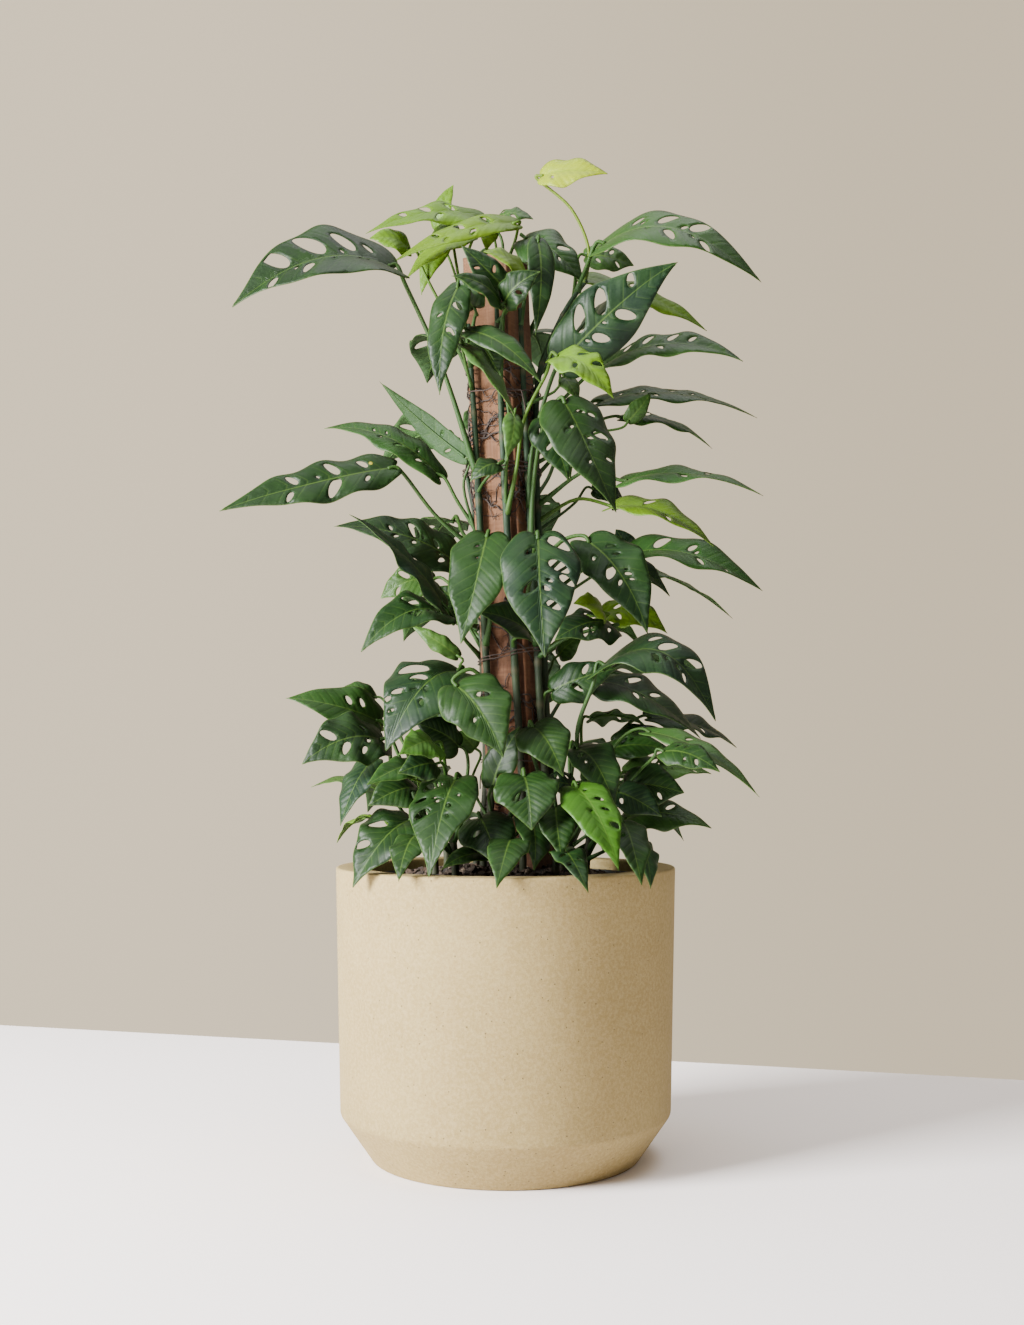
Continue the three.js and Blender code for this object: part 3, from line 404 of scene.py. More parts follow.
PLANTS["vine_front_right"] = beside_post(21, -23, (14, -10), [(4, -2, 350), (1, 0, 500), (0, 0,
    650), (0, 0, 796)]), [
    # Large dark leaf facing forward, upper right
    (610, (24, 660, -34, 34, 706, -36), (56, 756, -42), (165, 854, -74), 61, (30, -95, 10), 9,
     (25, -50, 40, 43, -44, 40, 67, -34, 24, 50, 36, 32, 28, 36, 28, 36, 10, 7, 47, 9, 6, 20, 14,
     8), "blue"),
    # Large hanging leaf, right of the post
    (575, (26, 630, -36, 34, 685, -46, 45, 711, -62), (57, 714, -74), (106, 613, -112), 64, (25,
     -95, 30), 10, (39, -55, 24, 13, -30, 14, 18, -57, 12, 60, -50, 10, 45, -14, 7, 30, 40, 10),
     "front"),
    (653, (34, 684, -30), (36, 698, -40), (60, 640, -56), 40, (-20, -90, 40), 7, (), "dark"),
    (661, (42, 682, -16), (50, 684, -24), (62, 640, -34), 20, (30, -90, 30), 5, (), "olive"),
    (780, (24, 850, -22), (31, 866, -26), (28, 780, -40), 26, (20, -100, 20), 7, (), "dark"),
    (705, (50, 728, -20), (56, 738, -26), (70, 716, -34), 20, (20, -90, 40), 3, (), "olive"),
    # Big leaf with long holes in front
    (480, (20, 515, -40, 25, 556, -50), (31, 585, -90), (38, 474, -128), 70, (5, -100, 30), 10,
     (7, -50, 34, 14, 20, 18, 20, -26, 13, 30, -48, 30, 42, -66, 22, 46, 24, 26, 62, -30, 20, 30,
     10, 7), "blue"),
    # Lime leaf and dark leaf below it
    (490, (52, 508, -38), (92, 515, -64), (64, 524, -84), 36, (0, -80, 60), 7, (), "lime"),
    (470, (62, 492, -40), (101, 502, -58), (46, 489, -92), 48, (0, -75, 65), 10, (), "dark"),
    (400, (36, 430, -20), (46, 441, -26), (106, 463, -34), 40, (-20, -90, 35), 6, (35, 35, 30, 55,
     -35, 28), "dark"),
]
PLANTS["vine_right"] = beside_post(29, -5, (10, -2), [(2, -1, 340), (0, 0, 500), (2, 0, 680), (8,
    -1, 740), (36, -4, 800), (56, -6, 826)]), [
    # Long leaf, upper right
    (815, (78, 846, -12), (95, 865, -18), (244, 831, -52), 62, (5, -72, 68), 32, (18, -42, 22, 36,
     -45, 36, 56, -42, 36, 42, 42, 30, 64, 36, 28, 26, 14, 7, 50, -10, 6), "mid"),
    # Pale new leaf at the very top
    (823, (79, 858, -4, 62, 898, -6), (36, 929, -8), (98, 934, -30), 34, (10, -95, 35), 6, (),
     "new"),
    (770, (62, 796, 20), (76, 830, 26), (191, 782, 44), 36, (10, -65, 75), 9, (35, -40, 25),
     "lime"),
    (755, (62, 806, 6), (78, 852, 12), (122, 843, 24), 32, (0, -90, 40), 6, (), "olive"),
    (655, (84, 684, -6), (117, 697, -8), (138, 724, -10), 18, (40, -90, 10), 4, (), "olive"),
    # Nearly level leaves on the right
    (690, (70, 732, -2), (97, 750, 4), (227, 757, -30), 48, (0, -60, 80), 15, (15, -35, 24, 30,
     -42, 30, 48, -40, 30, 62, -30, 20, 40, 35, 24), "mid"),
    (600, (68, 622, -4), (103, 614, -6), (199, 578, -40), 42, (5, -60, 80), 14, (30, -45, 30, 55,
     40, 30), "lime"),
    (615, (80, 650, -20), (116, 640, -30), (246, 630, -60), 48, (0, -50, 85), 12, (42, 40, 32, 60,
     -40, 25), "mid"),
    (560, (56, 584, -30), (80, 581, -52), (136, 498, -84), 56, (20, -95, 35), 10, (40, 28, 32, 16,
     -38, 16, 26, -30, 12, 20, 40, 12), "dark"),
    (545, (62, 572, -14), (88, 573, -26), (157, 530, -44), 38, (0, -65, 70), 10, (50, -30, 15),
     "dark"),
    (475, (70, 505, -6), (92, 513, -8), (154, 496, -26), 46, (0, -65, 70), 10, (), "lime"),
    (430, (62, 442, 6), (82, 449, 6), (186, 396, -16), 58, (10, -65, 75), 16, (12, -40, 20, 30,
     -45, 30, 52, -30, 22, 40, 30, 20), "dark"),
]
PLANTS["vine_back_right"] = beside_post(23, 21, (14, 14), [(4, 4, 340), (0, 0, 500), (0, 0, 680),
    (0, 2, 800)]), [
    (770, (44, 842, 26), (20, 868, 20), (76, 826, 4), 56, (10, -85, 50), 12, (30, 40, 30, 50, -40,
     25, 50, 40, 22), "mid"),
    (660, (60, 694, 30), (93, 714, 40), (238, 701, 50), 50, (0, -52, 85), 13, (30, 45, 30, 62, 35,
     25, 45, -40, 30), "mid"),
    (640, (74, 688, 44), (112, 697, 62), (195, 671, 78), 36, (0, -50, 85), 9, (25, -40, 30), "mid"),
    (520, (76, 556, 16), (120, 570, 14), (244, 536, 4), 48, (0, -60, 80), 18, (20, -45, 42, 42,
     -33, 24, 50, 40, 24, 70, 20, 16), "mid"),
    (510, (70, 540, 44), (112, 556, 62), (214, 511, 86), 34, (0, -40, 90), 9, (50, -30, 25),
     "olive"),
    (590, (66, 618, 34), (84, 630, 44), (112, 620, 54), 26, (0, -90, 40), 5, (), "dark"),
    (540, (84, 570, 30), (112, 574, 36), (104, 594, 24), 24, (0, -100, 20), 5, (), "blue"),
    (470, (66, 494, 36), (86, 500, 50), (127, 482, 74), 28, (0, -10, 100), 8, (), "olive"),
    (440, (44, 464, 22), (51, 474, 16), (74, 493, 8), 24, (-20, -95, 20), 4, (), "olive"),
    (430, (78, 452, 36), (100, 462, 60), (188, 452, 120), 54, (10, 30, 95), 15, (30, 45, 30, 50,
     -45, 30), "mid"),
    (730, (60, 770, 50), (84, 792, 74), (140, 800, 140), 60, (10, 40, 90), 16, BACK_HOLES, "dark"),
    (620, (40, 640, 60), (54, 664, 96), (88, 650, 176), 58, (20, 50, 85), 16, BACK_HOLES, "mid"),
    (400, (52, 430, 60), (70, 446, 92), (122, 430, 158), 56, (20, 50, 85), 16, BACK_HOLES, "dark"),
]
PLANTS["vine_back"] = beside_post(3, 31, (-4, 12), [(-2, 2, 340), (0, 0, 500), (2, 1, 680), (4, 2,
    852)]), [
    # Lime leaves over the top of the post
    (846, (9, 866, 30, 12, 880, 16), (6, 883, 6), (-108, 847, -8), 32, (-10, -85, 50), 12, (20,
     42, 36, 42, 40, 40, 62, 38, 30, 34, -42, 34, 56, -40, 28), "lime"),
    (838, (-4, 868, 36), (-8, 885, 36), (27, 886, 30), 30, (0, -80, 60), 7, (), "olive"),
    (830, (-10, 866, 22), (-15, 880, 12), (-19, 857, 0), 18, (0, -100, 20), 3, (), "lime"),
    # Leaves that face away
    (800, (0, 838, 56), (2, 846, 92), (-18, 800, 170), 58, (0, 70, 70), 16, BACK_HOLES, "dark"),
    (730, (16, 762, 56), (20, 776, 84), (38, 734, 160), 64, (10, 70, 70), 16, BACK_HOLES, "blue"),
    (660, (-6, 690, 54), (-10, 704, 80), (-22, 648, 146), 60, (-10, 85, 50), 14, BACK_HOLES, "mid"),
    (580, (8, 606, 56), (12, 618, 86), (34, 566, 156), 66, (10, 80, 60), 15, BACK_HOLES, "dark"),
    (500, (0, 530, 56), (-6, 546, 84), (-30, 492, 150), 64, (-10, 80, 60), 15, BACK_HOLES, "front"),
    (430, (12, 462, 54), (16, 474, 78), (40, 424, 150), 64, (10, 80, 60), 15, BACK_HOLES, "blue"),
]
PLANTS["vine_back_left"] = beside_post(-20, 23, (-12, 10), [(-2, 2, 340), (0, 0, 500), (0, 0,
    680), (-6, 2, 812)]), [
    # Lime leaves, upper left
    (790, (-18, 862, 40), (-26, 888, 38), (-133, 874, 16), 36, (0, -80, 60), 11, (24, 42, 36, 46,
     42, 42, 66, 40, 34, 36, -42, 34), "lime"),
    (780, (-54, 850, 52), (-64, 878, 58), (-49, 919, 54), 22, (-50, -80, 20), 5, (), "lime"),
    (740, (-50, 866, 40), (-54, 878, 38), (-80, 815, 26), 30, (-20, -95, 30), 6, (), "lime"),
    (798, (-36, 852, 32), (-35, 870, 24), (-95, 830, 2), 28, (-10, -85, 50), 8, (), "lime"),
    (750, (-78, 838, 22), (-92, 858, 18), (-130, 869, 4), 28, (0, -85, 50), 7, (), "lime"),
    # Leaves that face away
    (720, (-44, 760, 50), (-56, 772, 84), (-74, 728, 150), 60, (-30, 75, 60), 15, BACK_HOLES,
     "dark"),
    (640, (-44, 668, 44), (-58, 682, 66), (-118, 652, 128), 56, (-30, 60, 75), 15, BACK_HOLES,
     "mid"),
    (560, (-40, 588, 50), (-50, 600, 84), (-80, 556, 150), 58, (-30, 75, 60), 15, BACK_HOLES,
     "dark"),
    (480, (-44, 510, 46), (-56, 520, 74), (-96, 488, 136), 56, (-30, 70, 65), 15, BACK_HOLES,
     "mid"),
    (400, (-44, 430, 44), (-56, 440, 70), (-100, 410, 126), 56, (-30, 70, 65), 15, BACK_HOLES,
     "blue"),
]
PLANTS["vine_left"] = beside_post(-29, 5, (-14, 0), [(-4, 0, 340), (0, 0, 500), (-1, 0, 600), (-8,
    0, 650)]), [
    # Long dark leaf, middle left
    (572, (-66, 606, -6, -97, 646, -12), (-112, 651, -16), (-274, 615, -50), 48, (10, -78, 60), 7,
     (14, 42, 28, 32, 44, 38, 56, 36, 30, 34, -45, 46, 14, -40, 18, 60, -40, 26), "dark"),
    (593, (-46, 620, 2), (-66, 646, 6), (-172, 692, 26), 42, (20, -65, 70), 14, (15, -30, 20, 34,
     -28, 24, 50, -20, 12), "mid"),
    (585, (-40, 636, -8), (-40, 663, -12), (-120, 735, 12), 24, (-50, 45, 60), 9, (16, 40, 28, 30,
     -40, 25), "dark"),
    # Cluster on the left of the post
    (535, (-44, 548, -12), (-50, 563, -26), (-164, 600, -56), 52, (0, -85, 50), 12, (38, 33, 34,
     18, 20, 20, 36, -20, 16, 12, -40, 18), "dark"),
    (500, (-48, 508, -36), (-62, 525, -60), (-150, 612, -98), 42, (55, -45, 50), 8, (), "blue"),
    (510, (-48, 536, -2), (-70, 545, 4), (-119, 528, 2), 38, (0, -85, 45), 10, (45, 40, 32, 65,
     -30, 25), "olive"),
    (470, (-42, 494, -22), (-50, 506, -40), (-139, 480, -88), 50, (0, -62, 80), 23, (20, 35, 28,
     40, 42, 34, 42, -30, 26, 22, -32, 20), "dark"),
    (440, (-44, 462, -8), (-47, 474, -16), (-90, 503, -10), 18, (0, -90, 40), 6, (), "pale"),
    (480, (-38, 506, 6), (-44, 516, 8), (-65, 540, 4), 30, (0, -100, 20), 5, (), "dark"),
    # Broad leaf, lower left
    (415, (-38, 444, -20), (-46, 458, -36), (-115, 383, -90), 82, (-20, -85, 55), 23, (30, 52, 34,
     36, 24, 20, 56, 40, 16, 66, 56, 14, 56, -25, 12, 48, 12, 8, 72, 30, 8), "blue"),
    (395, (-58, 430, -12), (-72, 432, -26), (-56, 398, -44), 32, (0, -90, 40), 6, (), "dark"),
]
PLANTS["shoot_left"] = in_soil(-66, -34, (-8, -4, 318)), [
    # Low leaves reaching left
    (295, (-108, 366, -46), (-120, 393, -66), (-195, 372, -100), 56, (0, -85, 55), 13, (62, 30,
     28, 50, -35, 26, 20, 30, 12, 30, -55, 16), "dark"),
    (308, (-104, 384, -28), (-124, 412, -36), (-210, 435, -58), 48, (10, -85, 50), 10, (), "mid"),
    (301, (-94, 384, -10), (-118, 408, -16), (-154, 416, -28), 24, (0, -80, 60), 5, (), "lime"),
    (288, (-112, 346, -50), (-128, 372, -60), (-158, 312, -88), 40, (-50, -80, 30), 7, (), "blue"),
    (281, (-92, 330, -8), (-118, 348, 0), (-185, 350, 18), 30, (0, -40, 90), 7, (), "olive"),
    (315, (-100, 398, -16), (-126, 434, -10), (-161, 438, -6), 18, (0, -60, 80), 10, (), "mid"),
]
PLANTS["shoot_front_left"] = in_soil(-46, -62, (-5, -8, 326)), [
    # Broad leaf with holes, front left
    (300, (-36, 340, -72), (-48, 355, -84), (-74, 264, -152), 61, (-25, -100, 45), 12, (16, 50,
     30, 33, 70, 18, 30, 33, 7, 48, 55, 26, 38, -16, 12, 28, -42, 10), "front"),
    (290, (-78, 314, -64), (-92, 316, -76), (-147, 254, -112), 56, (-20, -80, 60), 14, (30, 50,
     32, 60, 50, 30), "dark"),
    (286, (-72, 302, -86), (-86, 302, -106), (-103, 258, -152), 32, (-20, -90, 50), 6, (), "front"),
    (295, (-66, 330, -62), (-85, 346, -76), (-132, 331, -104), 42, (0, -75, 65), 9, (), "dark"),
    (309, (-56, 350, -70), (-68, 370, -92), (-104, 362, -116), 32, (0, -85, 50), 6, (), "dark"),
    (323, (-58, 372, -66), (-69, 390, -106), (-103, 380, -142), 38, (0, -90, 50), 8, (), "fresh"),
    (304, (-78, 350, -50), (-93, 357, -54), (-119, 364, -60), 16, (0, -80, 55), 3, (), "lime"),
    (318, (-70, 358, -62), (-84, 368, -80), (-134, 350, -118), 30, (-10, -80, 60), 8, (), "mid"),
    (314, (-36, 364, -58), (-46, 388, -58), (-86, 410, -66), 40, (0, -85, 55), 9, (), "dark"),
]
PLANTS["shoot_front"] = in_soil(-4, -74, (-2, -6, 308)), [
    # Leaves over the front of the pot
    (301, (14, 346, -84), (18, 358, -100), (25, 306, -128), 58, (5, -100, 35), 8, (45, 25, 26),
     "front"),
    (289, (-20, 308, -84), (-24, 318, -92), (-8, 272, -136), 52, (-15, -100, 45), 7, (40, 35, 20),
     "dark"),
    (285, (2, 296, -94), (6, 298, -112), (-9, 252, -178), 36, (-20, -90, 60), 9, (), "front"),
    (293, (14, 308, -78), (20, 318, -84), (27, 268, -144), 36, (30, -90, 60), 9, (), "dark"),
    (297, (-16, 336, -72), (-12, 350, -78), (14, 407, -80), 32, (-40, -100, 0), 6, (), "dark"),
    (281, (-10, 286, -90), (-18, 282, -98), (-62, 270, -128), 24, (0, -50, 85), 6, (), "dark"),
    (305, (-32, 352, -60), (-30, 386, -44), (-48, 402, -46), 22, (0, -90, 30), 3, (), "pale"),
]
PLANTS["shoot_front_right"] = in_soil(46, -60, (6, -8, 312)), [
    # Lime leaf with holes, front right
    (301, (62, 338, -84), (69, 347, -100), (109, 270, -154), 46, (15, -100, 40), 10, (60, -50, 28,
     26, -40, 20, 40, -42, 18), "fresh"),
    (305, (64, 368, -58), (70, 384, -62), (105, 330, -92), 42, (25, -90, 45), 14, (), "front"),
    (309, (26, 380, -64), (27, 405, -82), (55, 359, -112), 48, (0, -95, 45), 9, (), "front"),
    (293, (50, 320, -78), (48, 329, -92), (54, 279, -132), 36, (0, -100, 40), 7, (), "front"),
    (297, (62, 334, -56), (67, 347, -62), (32, 351, -78), 34, (0, -80, 60), 7, (), "blue"),
    (281, (56, 284, -96), (54, 288, -108), (80, 248, -168), 30, (10, -90, 60), 9, (), "dark"),
    (285, (92, 312, -86), (112, 314, -98), (131, 255, -142), 34, (30, -85, 50), 9, (), "front"),
    (289, (68, 306, -66), (80, 318, -74), (120, 294, -104), 36, (0, -80, 60), 7, (), "dark"),
]
PLANTS["shoot_right"] = in_soil(76, -22, (9, -6, 336)), [
    # Big leaf, lower right
    (325, (68, 398, -56, 84, 448, -70), (96, 464, -72), (201, 414, -98), 64, (10, -52, 85), 40,
     (30, -50, 20, 42, -30, 30, 64, -32, 28, 40, 42, 20, 66, 35, 16), "blue"),
    (321, (72, 388, 2), (82, 414, 12), (134, 407, 20), 38, (0, 35, 95), 6, (50, -40, 25), "olive"),
    (317, (102, 384, -30, 120, 402, -42), (138, 400, -50), (243, 342, -98), 30, (20, -60, 75), 9,
     (30, -40, 25), "olive"),
    (305, (126, 362, -58, 142, 378, -72), (152, 382, -78), (206, 363, -106), 30, (0, -75, 65), 7,
     (), "front"),
    (309, (92, 374, -6), (102, 385, -6), (158, 384, -14), 34, (0, -70, 70), 7, (), "mid"),
    (301, (104, 352, -8), (118, 362, -8), (196, 362, 0), 42, (0, -65, 75), 9, (30, -40, 22, 55,
     -40, 16, 75, 20, 20), "pale"),
    (293, (108, 340, -34), (116, 350, -42), (171, 343, -52), 48, (0, -85, 55), 9, (30, 30, 14, 60,
     40, 16), "dark"),
    (289, (104, 336, -54), (108, 343, -62), (150, 321, -76), 34, (0, -85, 50), 7, (), "blue"),
    (285, (100, 318, -26), (115, 318, -30), (197, 311, -52), 44, (0, -65, 75), 10, (50, -40, 25),
     "mid"),
    (329, (106, 398, 20), (138, 414, 30), (219, 387, 54), 42, (0, -55, 85), 9, (30, -40, 28, 50,
     40, 28), "dark"),
    (313, (84, 378, 4), (105, 392, 12), (152, 403, 20), 26, (0, -70, 70), 6, (), "dark"),
    (297, (70, 340, -30), (74, 354, -36), (104, 362, -48), 26, (0, -90, 40), 6, (), "dark"),
    (281, (110, 296, -56), (122, 300, -78), (139, 252, -118), 30, (40, -80, 50), 8, (), "blue"),
]
PLANTS["shoot_back_right"] = in_soil(64, 56, (6, 6, 312)), [
    (300, (86, 340, 76), (92, 354, 92), (140, 334, 140), 52, (40, 60, 70), 14, BACK_HOLES, "mid"),
    (290, (74, 318, 94), (78, 330, 116), (92, 288, 176), 48, (20, 85, 50), 12, (40, 40, 30),
     "dark"),
    (281, (110, 316, 60), (122, 322, 66), (168, 300, 96), 40, (50, 40, 75), 10, (40, 40, 30),
     "mid"),
    (309, (60, 370, 84), (66, 388, 104), (96, 356, 158), 50, (30, 80, 60), 13, (35, 45, 30, 50,
     -40, 25), "front"),
]
PLANTS["shoot_back"] = in_soil(6, 76, (0, 6, 312)), [
    (300, (6, 344, 96), (8, 356, 112), (20, 310, 180), 52, (10, 90, 50), 12, (35, 45, 30, 50, -40,
     25), "front"),
    (290, (-12, 312, 104), (-16, 320, 122), (-30, 280, 186), 44, (-10, 90, 50), 10, (), "dark"),
    (309, (22, 378, 92), (26, 392, 112), (44, 348, 170), 48, (20, 85, 50), 12, (35, 45, 30), "mid"),
    (281, (36, 308, 106), (40, 318, 128), (60, 284, 184), 36, (20, 85, 50), 9, (), "lime"),
]
PLANTS["shoot_back_left"] = in_soil(-58, 50, (-6, 6, 312)), [
    (300, (-82, 342, 72), (-90, 354, 90), (-130, 326, 136), 52, (-40, 60, 70), 14, BACK_HOLES,
     "dark"),
    (309, (-62, 352, 84), (-68, 366, 104), (-84, 322, 168), 52, (-20, 85, 50), 12, (35, 45, 30,
     50, -40, 25), "front"),
    (281, (-64, 312, 96), (-70, 320, 116), (-88, 284, 170), 40, (-20, 85, 50), 10, (), "mid"),
    (290, (-112, 314, 42), (-122, 320, 46), (-160, 296, 66), 36, (-50, 30, 80), 9, (), "lime"),
]


# Materials
class Look:
    """A node material around one Principled shader."""

    def __init__(self, name, roughness, **sockets):
        self.material = bpy.data.materials.new(name)
        self.material.use_nodes = True
        self.tree = self.material.node_tree
        self.tree.nodes.clear()
        self.shader = self.node("ShaderNodeBsdfPrincipled")
        output = self.node("ShaderNodeOutputMaterial")
        self.tree.links.new(self.shader.outputs["BSDF"], output.inputs["Surface"])
        self.shader.inputs["Roughness"].default_value = roughness
        for socket, value in sockets.items():
            self.shader.inputs[socket.replace("_", " ")].default_value = value
        self.place = self.node("ShaderNodeTexCoord").outputs["Object"]

    def node(self, kind, settings=None, **inputs):
        made = self.tree.nodes.new(kind)
        for key, value in (settings or {}).items():
            setattr(made, key, value)
        for key, value in inputs.items():
            self.feed(made.inputs[key], value)
        return made

    def feed(self, socket, value):
        if isinstance(value, bpy.types.NodeSocket):
            self.tree.links.new(value, socket)
        elif isinstance(value, tuple) and len(value) == 3 and socket.type == "RGBA":
            socket.default_value = (*value, 1)
        else:
            socket.default_value = value

    def fed(self, kind, values, **settings):
        """A node with its first inputs set or linked in order."""
        made = self.node(kind, settings)
        for socket, value in zip(made.inputs, values):
            self.feed(socket, value)
        return made

    def attribute(self, name):
        return self.node("ShaderNodeAttribute", {"attribute_name": name}).outputs["Vector"]

    def parts(self, vector):
        return self.fed("ShaderNodeSeparateXYZ", [vector]).outputs

    def stretched(self, *scale):
        made = self.fed("ShaderNodeVectorMath", [self.place, scale], operation="MULTIPLY")
        return made.outputs[0]

    def noise(self, vector, scale, detail=3.0, roughness=0.55):
        return self.node("ShaderNodeTexNoise", Vector=vector, Scale=scale, Detail=detail,
                         Roughness=roughness).outputs["Fac"]

    def cells(self, scale):
        """Distance to the nearest cell's middle, and a number of the cell's own."""
        made = self.node("ShaderNodeTexVoronoi", {"feature": "F1"}, Vector=self.place, Scale=scale)
        return made.outputs["Distance"], self.parts(made.outputs["Color"])[0]

    def math(self, operation, *values):
        return self.fed("ShaderNodeMath", values, operation=operation).outputs[0]

    def times(self, first, second):
        return self.math("MULTIPLY", first, second)

    def total(self, *parts):
        """The sum of values, each with its weight."""
        found = None
        for value, weight in parts:
            part = self.times(value, weight)
            found = self.math("ADD", found, part) if found else part
        return found

    def fade(self, value, low, high, start=0.0, end=1.0):
        """A smooth step of the value, from start at low to end at high."""
        return self.fed("ShaderNodeMapRange", (value, low, high, start, end),
                        interpolation_type="SMOOTHSTEP").outputs[0]

    def mix(self, share, first, second):
        made = self.node("ShaderNodeMix", {"data_type": "RGBA"})
        for index, value in ((0, share), (6, first), (7, second)):
            self.feed(made.inputs[index], value)
        return made.outputs[2]

    def tint(self, colour, other, *steps):
        """The colour, mixed with the other one by a fade."""
        return self.mix(self.fade(*steps), colour, other)

    def ramp(self, value, *stops):
        made = self.fed("ShaderNodeValToRGB", [value])
        elements = made.color_ramp.elements
        while len(elements) < len(stops):
            elements.new(0.5)
        for element, (position, colour) in zip(elements, stops):
            element.position = position
            element.color = (*colour, 1)
        return made.outputs["Color"]

    def finish(self, colour, roughness=None, height=None, depth=0.0005, strength=1.0):
        self.feed(self.shader.inputs["Base Color"], colour)
        if roughness is not None:
            self.feed(self.shader.inputs["Roughness"], roughness)
        if height is not None:
            bump = self.node("ShaderNodeBump", Height=height, Distance=depth, Strength=strength)
            self.feed(self.shader.inputs["Normal"], bump.outputs["Normal"])
        return self.material


def leaf_look(name, under):
    """Blade: tone, faint side veins, a thin pale midrib and margin, and soft quilting."""
    look = Look(name, 0.5, Specular_IOR_Level=0.20)
    tone = look.attribute("tone")
    phase, off_rib, share = look.parts(look.attribute("data"))
    edge, spacing, _ = look.parts(look.attribute("more"))
    broad = look.noise(look.place, 34)
    fine = look.noise(look.place, 520, 3, 0.6)
    nearest = look.math("ABSOLUTE", look.math("SUBTRACT", look.math("FRACT", phase), 0.5))
    off_vein = look.times(nearest, spacing)
    side_width = look.times(look.fade(off_rib, 0.5, 22.0, 0.62, 0.22),
                            look.fade(edge, 0.5, 8.0, 0.15, 1.0))
    side = look.fade(look.math("DIVIDE", off_vein, side_width), 0.3, 1.3, 1.0, 0.0)
    rib_width = look.fade(share, -0.02, 0.95, 1.05, 0.25)
    rib = look.fade(look.math("DIVIDE", off_rib, rib_width), 0.5, 1.15, 1.0, 0.0)
    valley = look.fade(off_vein, 0.0, 3.4)
    gutter = look.fade(off_rib, 0.4, 3.4)
    lighter = look.mix(0.5, tone, (0.026, 0.074, 0.009))
    vein = look.mix(0.5, tone, (0.085, 0.155, 0.022))
    blade = look.tint(tone, lighter, broad, 0.35, 0.75, 0.0, 0.45)
    blade = look.mix(look.times(look.fade(share, -0.05, 0.45, 0.24, 0.0), gutter), blade, lighter)
    blade = look.tint(blade, lighter, fine, 0.35, 0.75, 0.0, 0.16)
    if under:
        blade = look.mix(0.50, blade, (0.028, 0.068, 0.018))
        blade = look.mix(look.times(side, 0.42), blade, vein)
    else:
        blade = look.tint(blade, vein, edge, 0.1, 0.9, 0.6, 0.0)
        blade = look.mix(look.times(side, 0.30), blade, vein)
        spot, chosen = look.cells(24)
        mark = look.times(look.fade(spot, 0.03, 0.055, 0.8, 0.0), look.fade(chosen, 0.955, 0.965))
        blade = look.mix(mark, blade, (0.36, 0.30, 0.02))
    blade = look.mix(look.times(rib, 0.75), blade, vein)
    quilting = look.noise(look.place, 110, 2)
    ripple = look.total((valley, 0.34), (fine, 0.08), (quilting, 0.36), (gutter, 0.18))
    low, high = (0.60, 0.75) if under else (0.42, 0.57)
    return look.finish(blade, look.fade(fine, 0.2, 0.8, low, high), ripple, 0.0007, 0.75)


def stalk_look():
    """Petioles: fresh green, darker and blotched near the stem."""
    look = Look("petiole", 0.55, Specular_IOR_Level=0.25)
    along = look.parts(look.attribute("data"))[0]
    streak = look.noise(look.stretched(1, 1, 0.25), 300, 2)
    colour = look.tint(look.attribute("tone"), (0.036, 0.086, 0.007), streak, 0.3, 0.7, 0.0, 0.35)
    colour = look.tint(colour, (0.018, 0.052, 0.014), along, 0.0, 0.4, 0.5, 0.0)
    return look.finish(colour, look.fade(streak, 0.2, 0.8, 0.52, 0.68), streak, 0.0003, 0.5)


def stem_look():
    """Stems: dark green, browner low down, with pale ring scars."""
    look = Look("stem", 0.65, Specular_IOR_Level=0.25)
    height = look.parts(look.place)[2]
    grain = look.noise(look.stretched(1, 1, 0.3), 420)
    colour = look.ramp(look.noise(look.place, 55, 4), (0.3, (0.006, 0.018, 0.008)),
                       (0.55, (0.010, 0.029, 0.010)), (0.75, (0.021, 0.040, 0.011)))
    bark = look.mix(grain, (0.015, 0.012, 0.006), (0.046, 0.034, 0.016))
    colour = look.tint(colour, bark, height, 0.28, 0.60, 0.55, 0.05)
    scar = look.parts(look.attribute("more"))[0]
    colour = look.mix(look.times(scar, 0.6), colour, (0.060, 0.052, 0.025))
    return look.finish(colour, look.fade(grain, 0.2, 0.8, 0.58, 0.76), grain, 0.0006, 0.7)


def root_look():
    """Aerial roots: dark and matt, with small lighter patches."""
    look = Look("aerial_root", 0.8)
    grain = look.noise(look.place, 300, 4)
    colour = look.ramp(grain, (0.3, (0.009, 0.006, 0.005)), (0.7, (0.036, 0.020, 0.012)))
    return look.finish(colour, None, grain, 0.0004, 0.8)


def planter_look():
    """Cast composite: warm sand colour, fine grain, small dark specks and pin holes."""
    look = Look("planter_composite", 0.8, Specular_IOR_Level=0.3)
    cloud = look.noise(look.place, 9, 4, 0.6)
    grain = look.noise(look.place, 900, 3, 0.7)
    sand = look.noise(look.place, 330, 4, 0.65)
    colour = look.tint((0.258, 0.187, 0.068), (0.308, 0.228, 0.087), cloud, 0.25, 0.75)
    colour = look.tint(colour, (0.15, 0.100, 0.038), grain, 0.25, 0.75, 0.34, 0.0)
    colour = look.tint(colour, (0.56, 0.45, 0.25), sand, 0.35, 0.7, 0.0, 0.20)
    speck, chosen = look.cells(190)
    mask = look.times(look.fade(speck, 0.08, 0.15, 1.0, 0.0), look.fade(chosen, 0.74, 0.76))
    colour = look.mix(look.times(mask, 0.75), colour, (0.07, 0.045, 0.022))
    height = look.total((grain, 0.5), (sand, 0.5), (mask, -0.9))
    return look.finish(colour, look.fade(grain, 0.2, 0.8, 0.72, 0.88), height, 0.0006, 0.8)


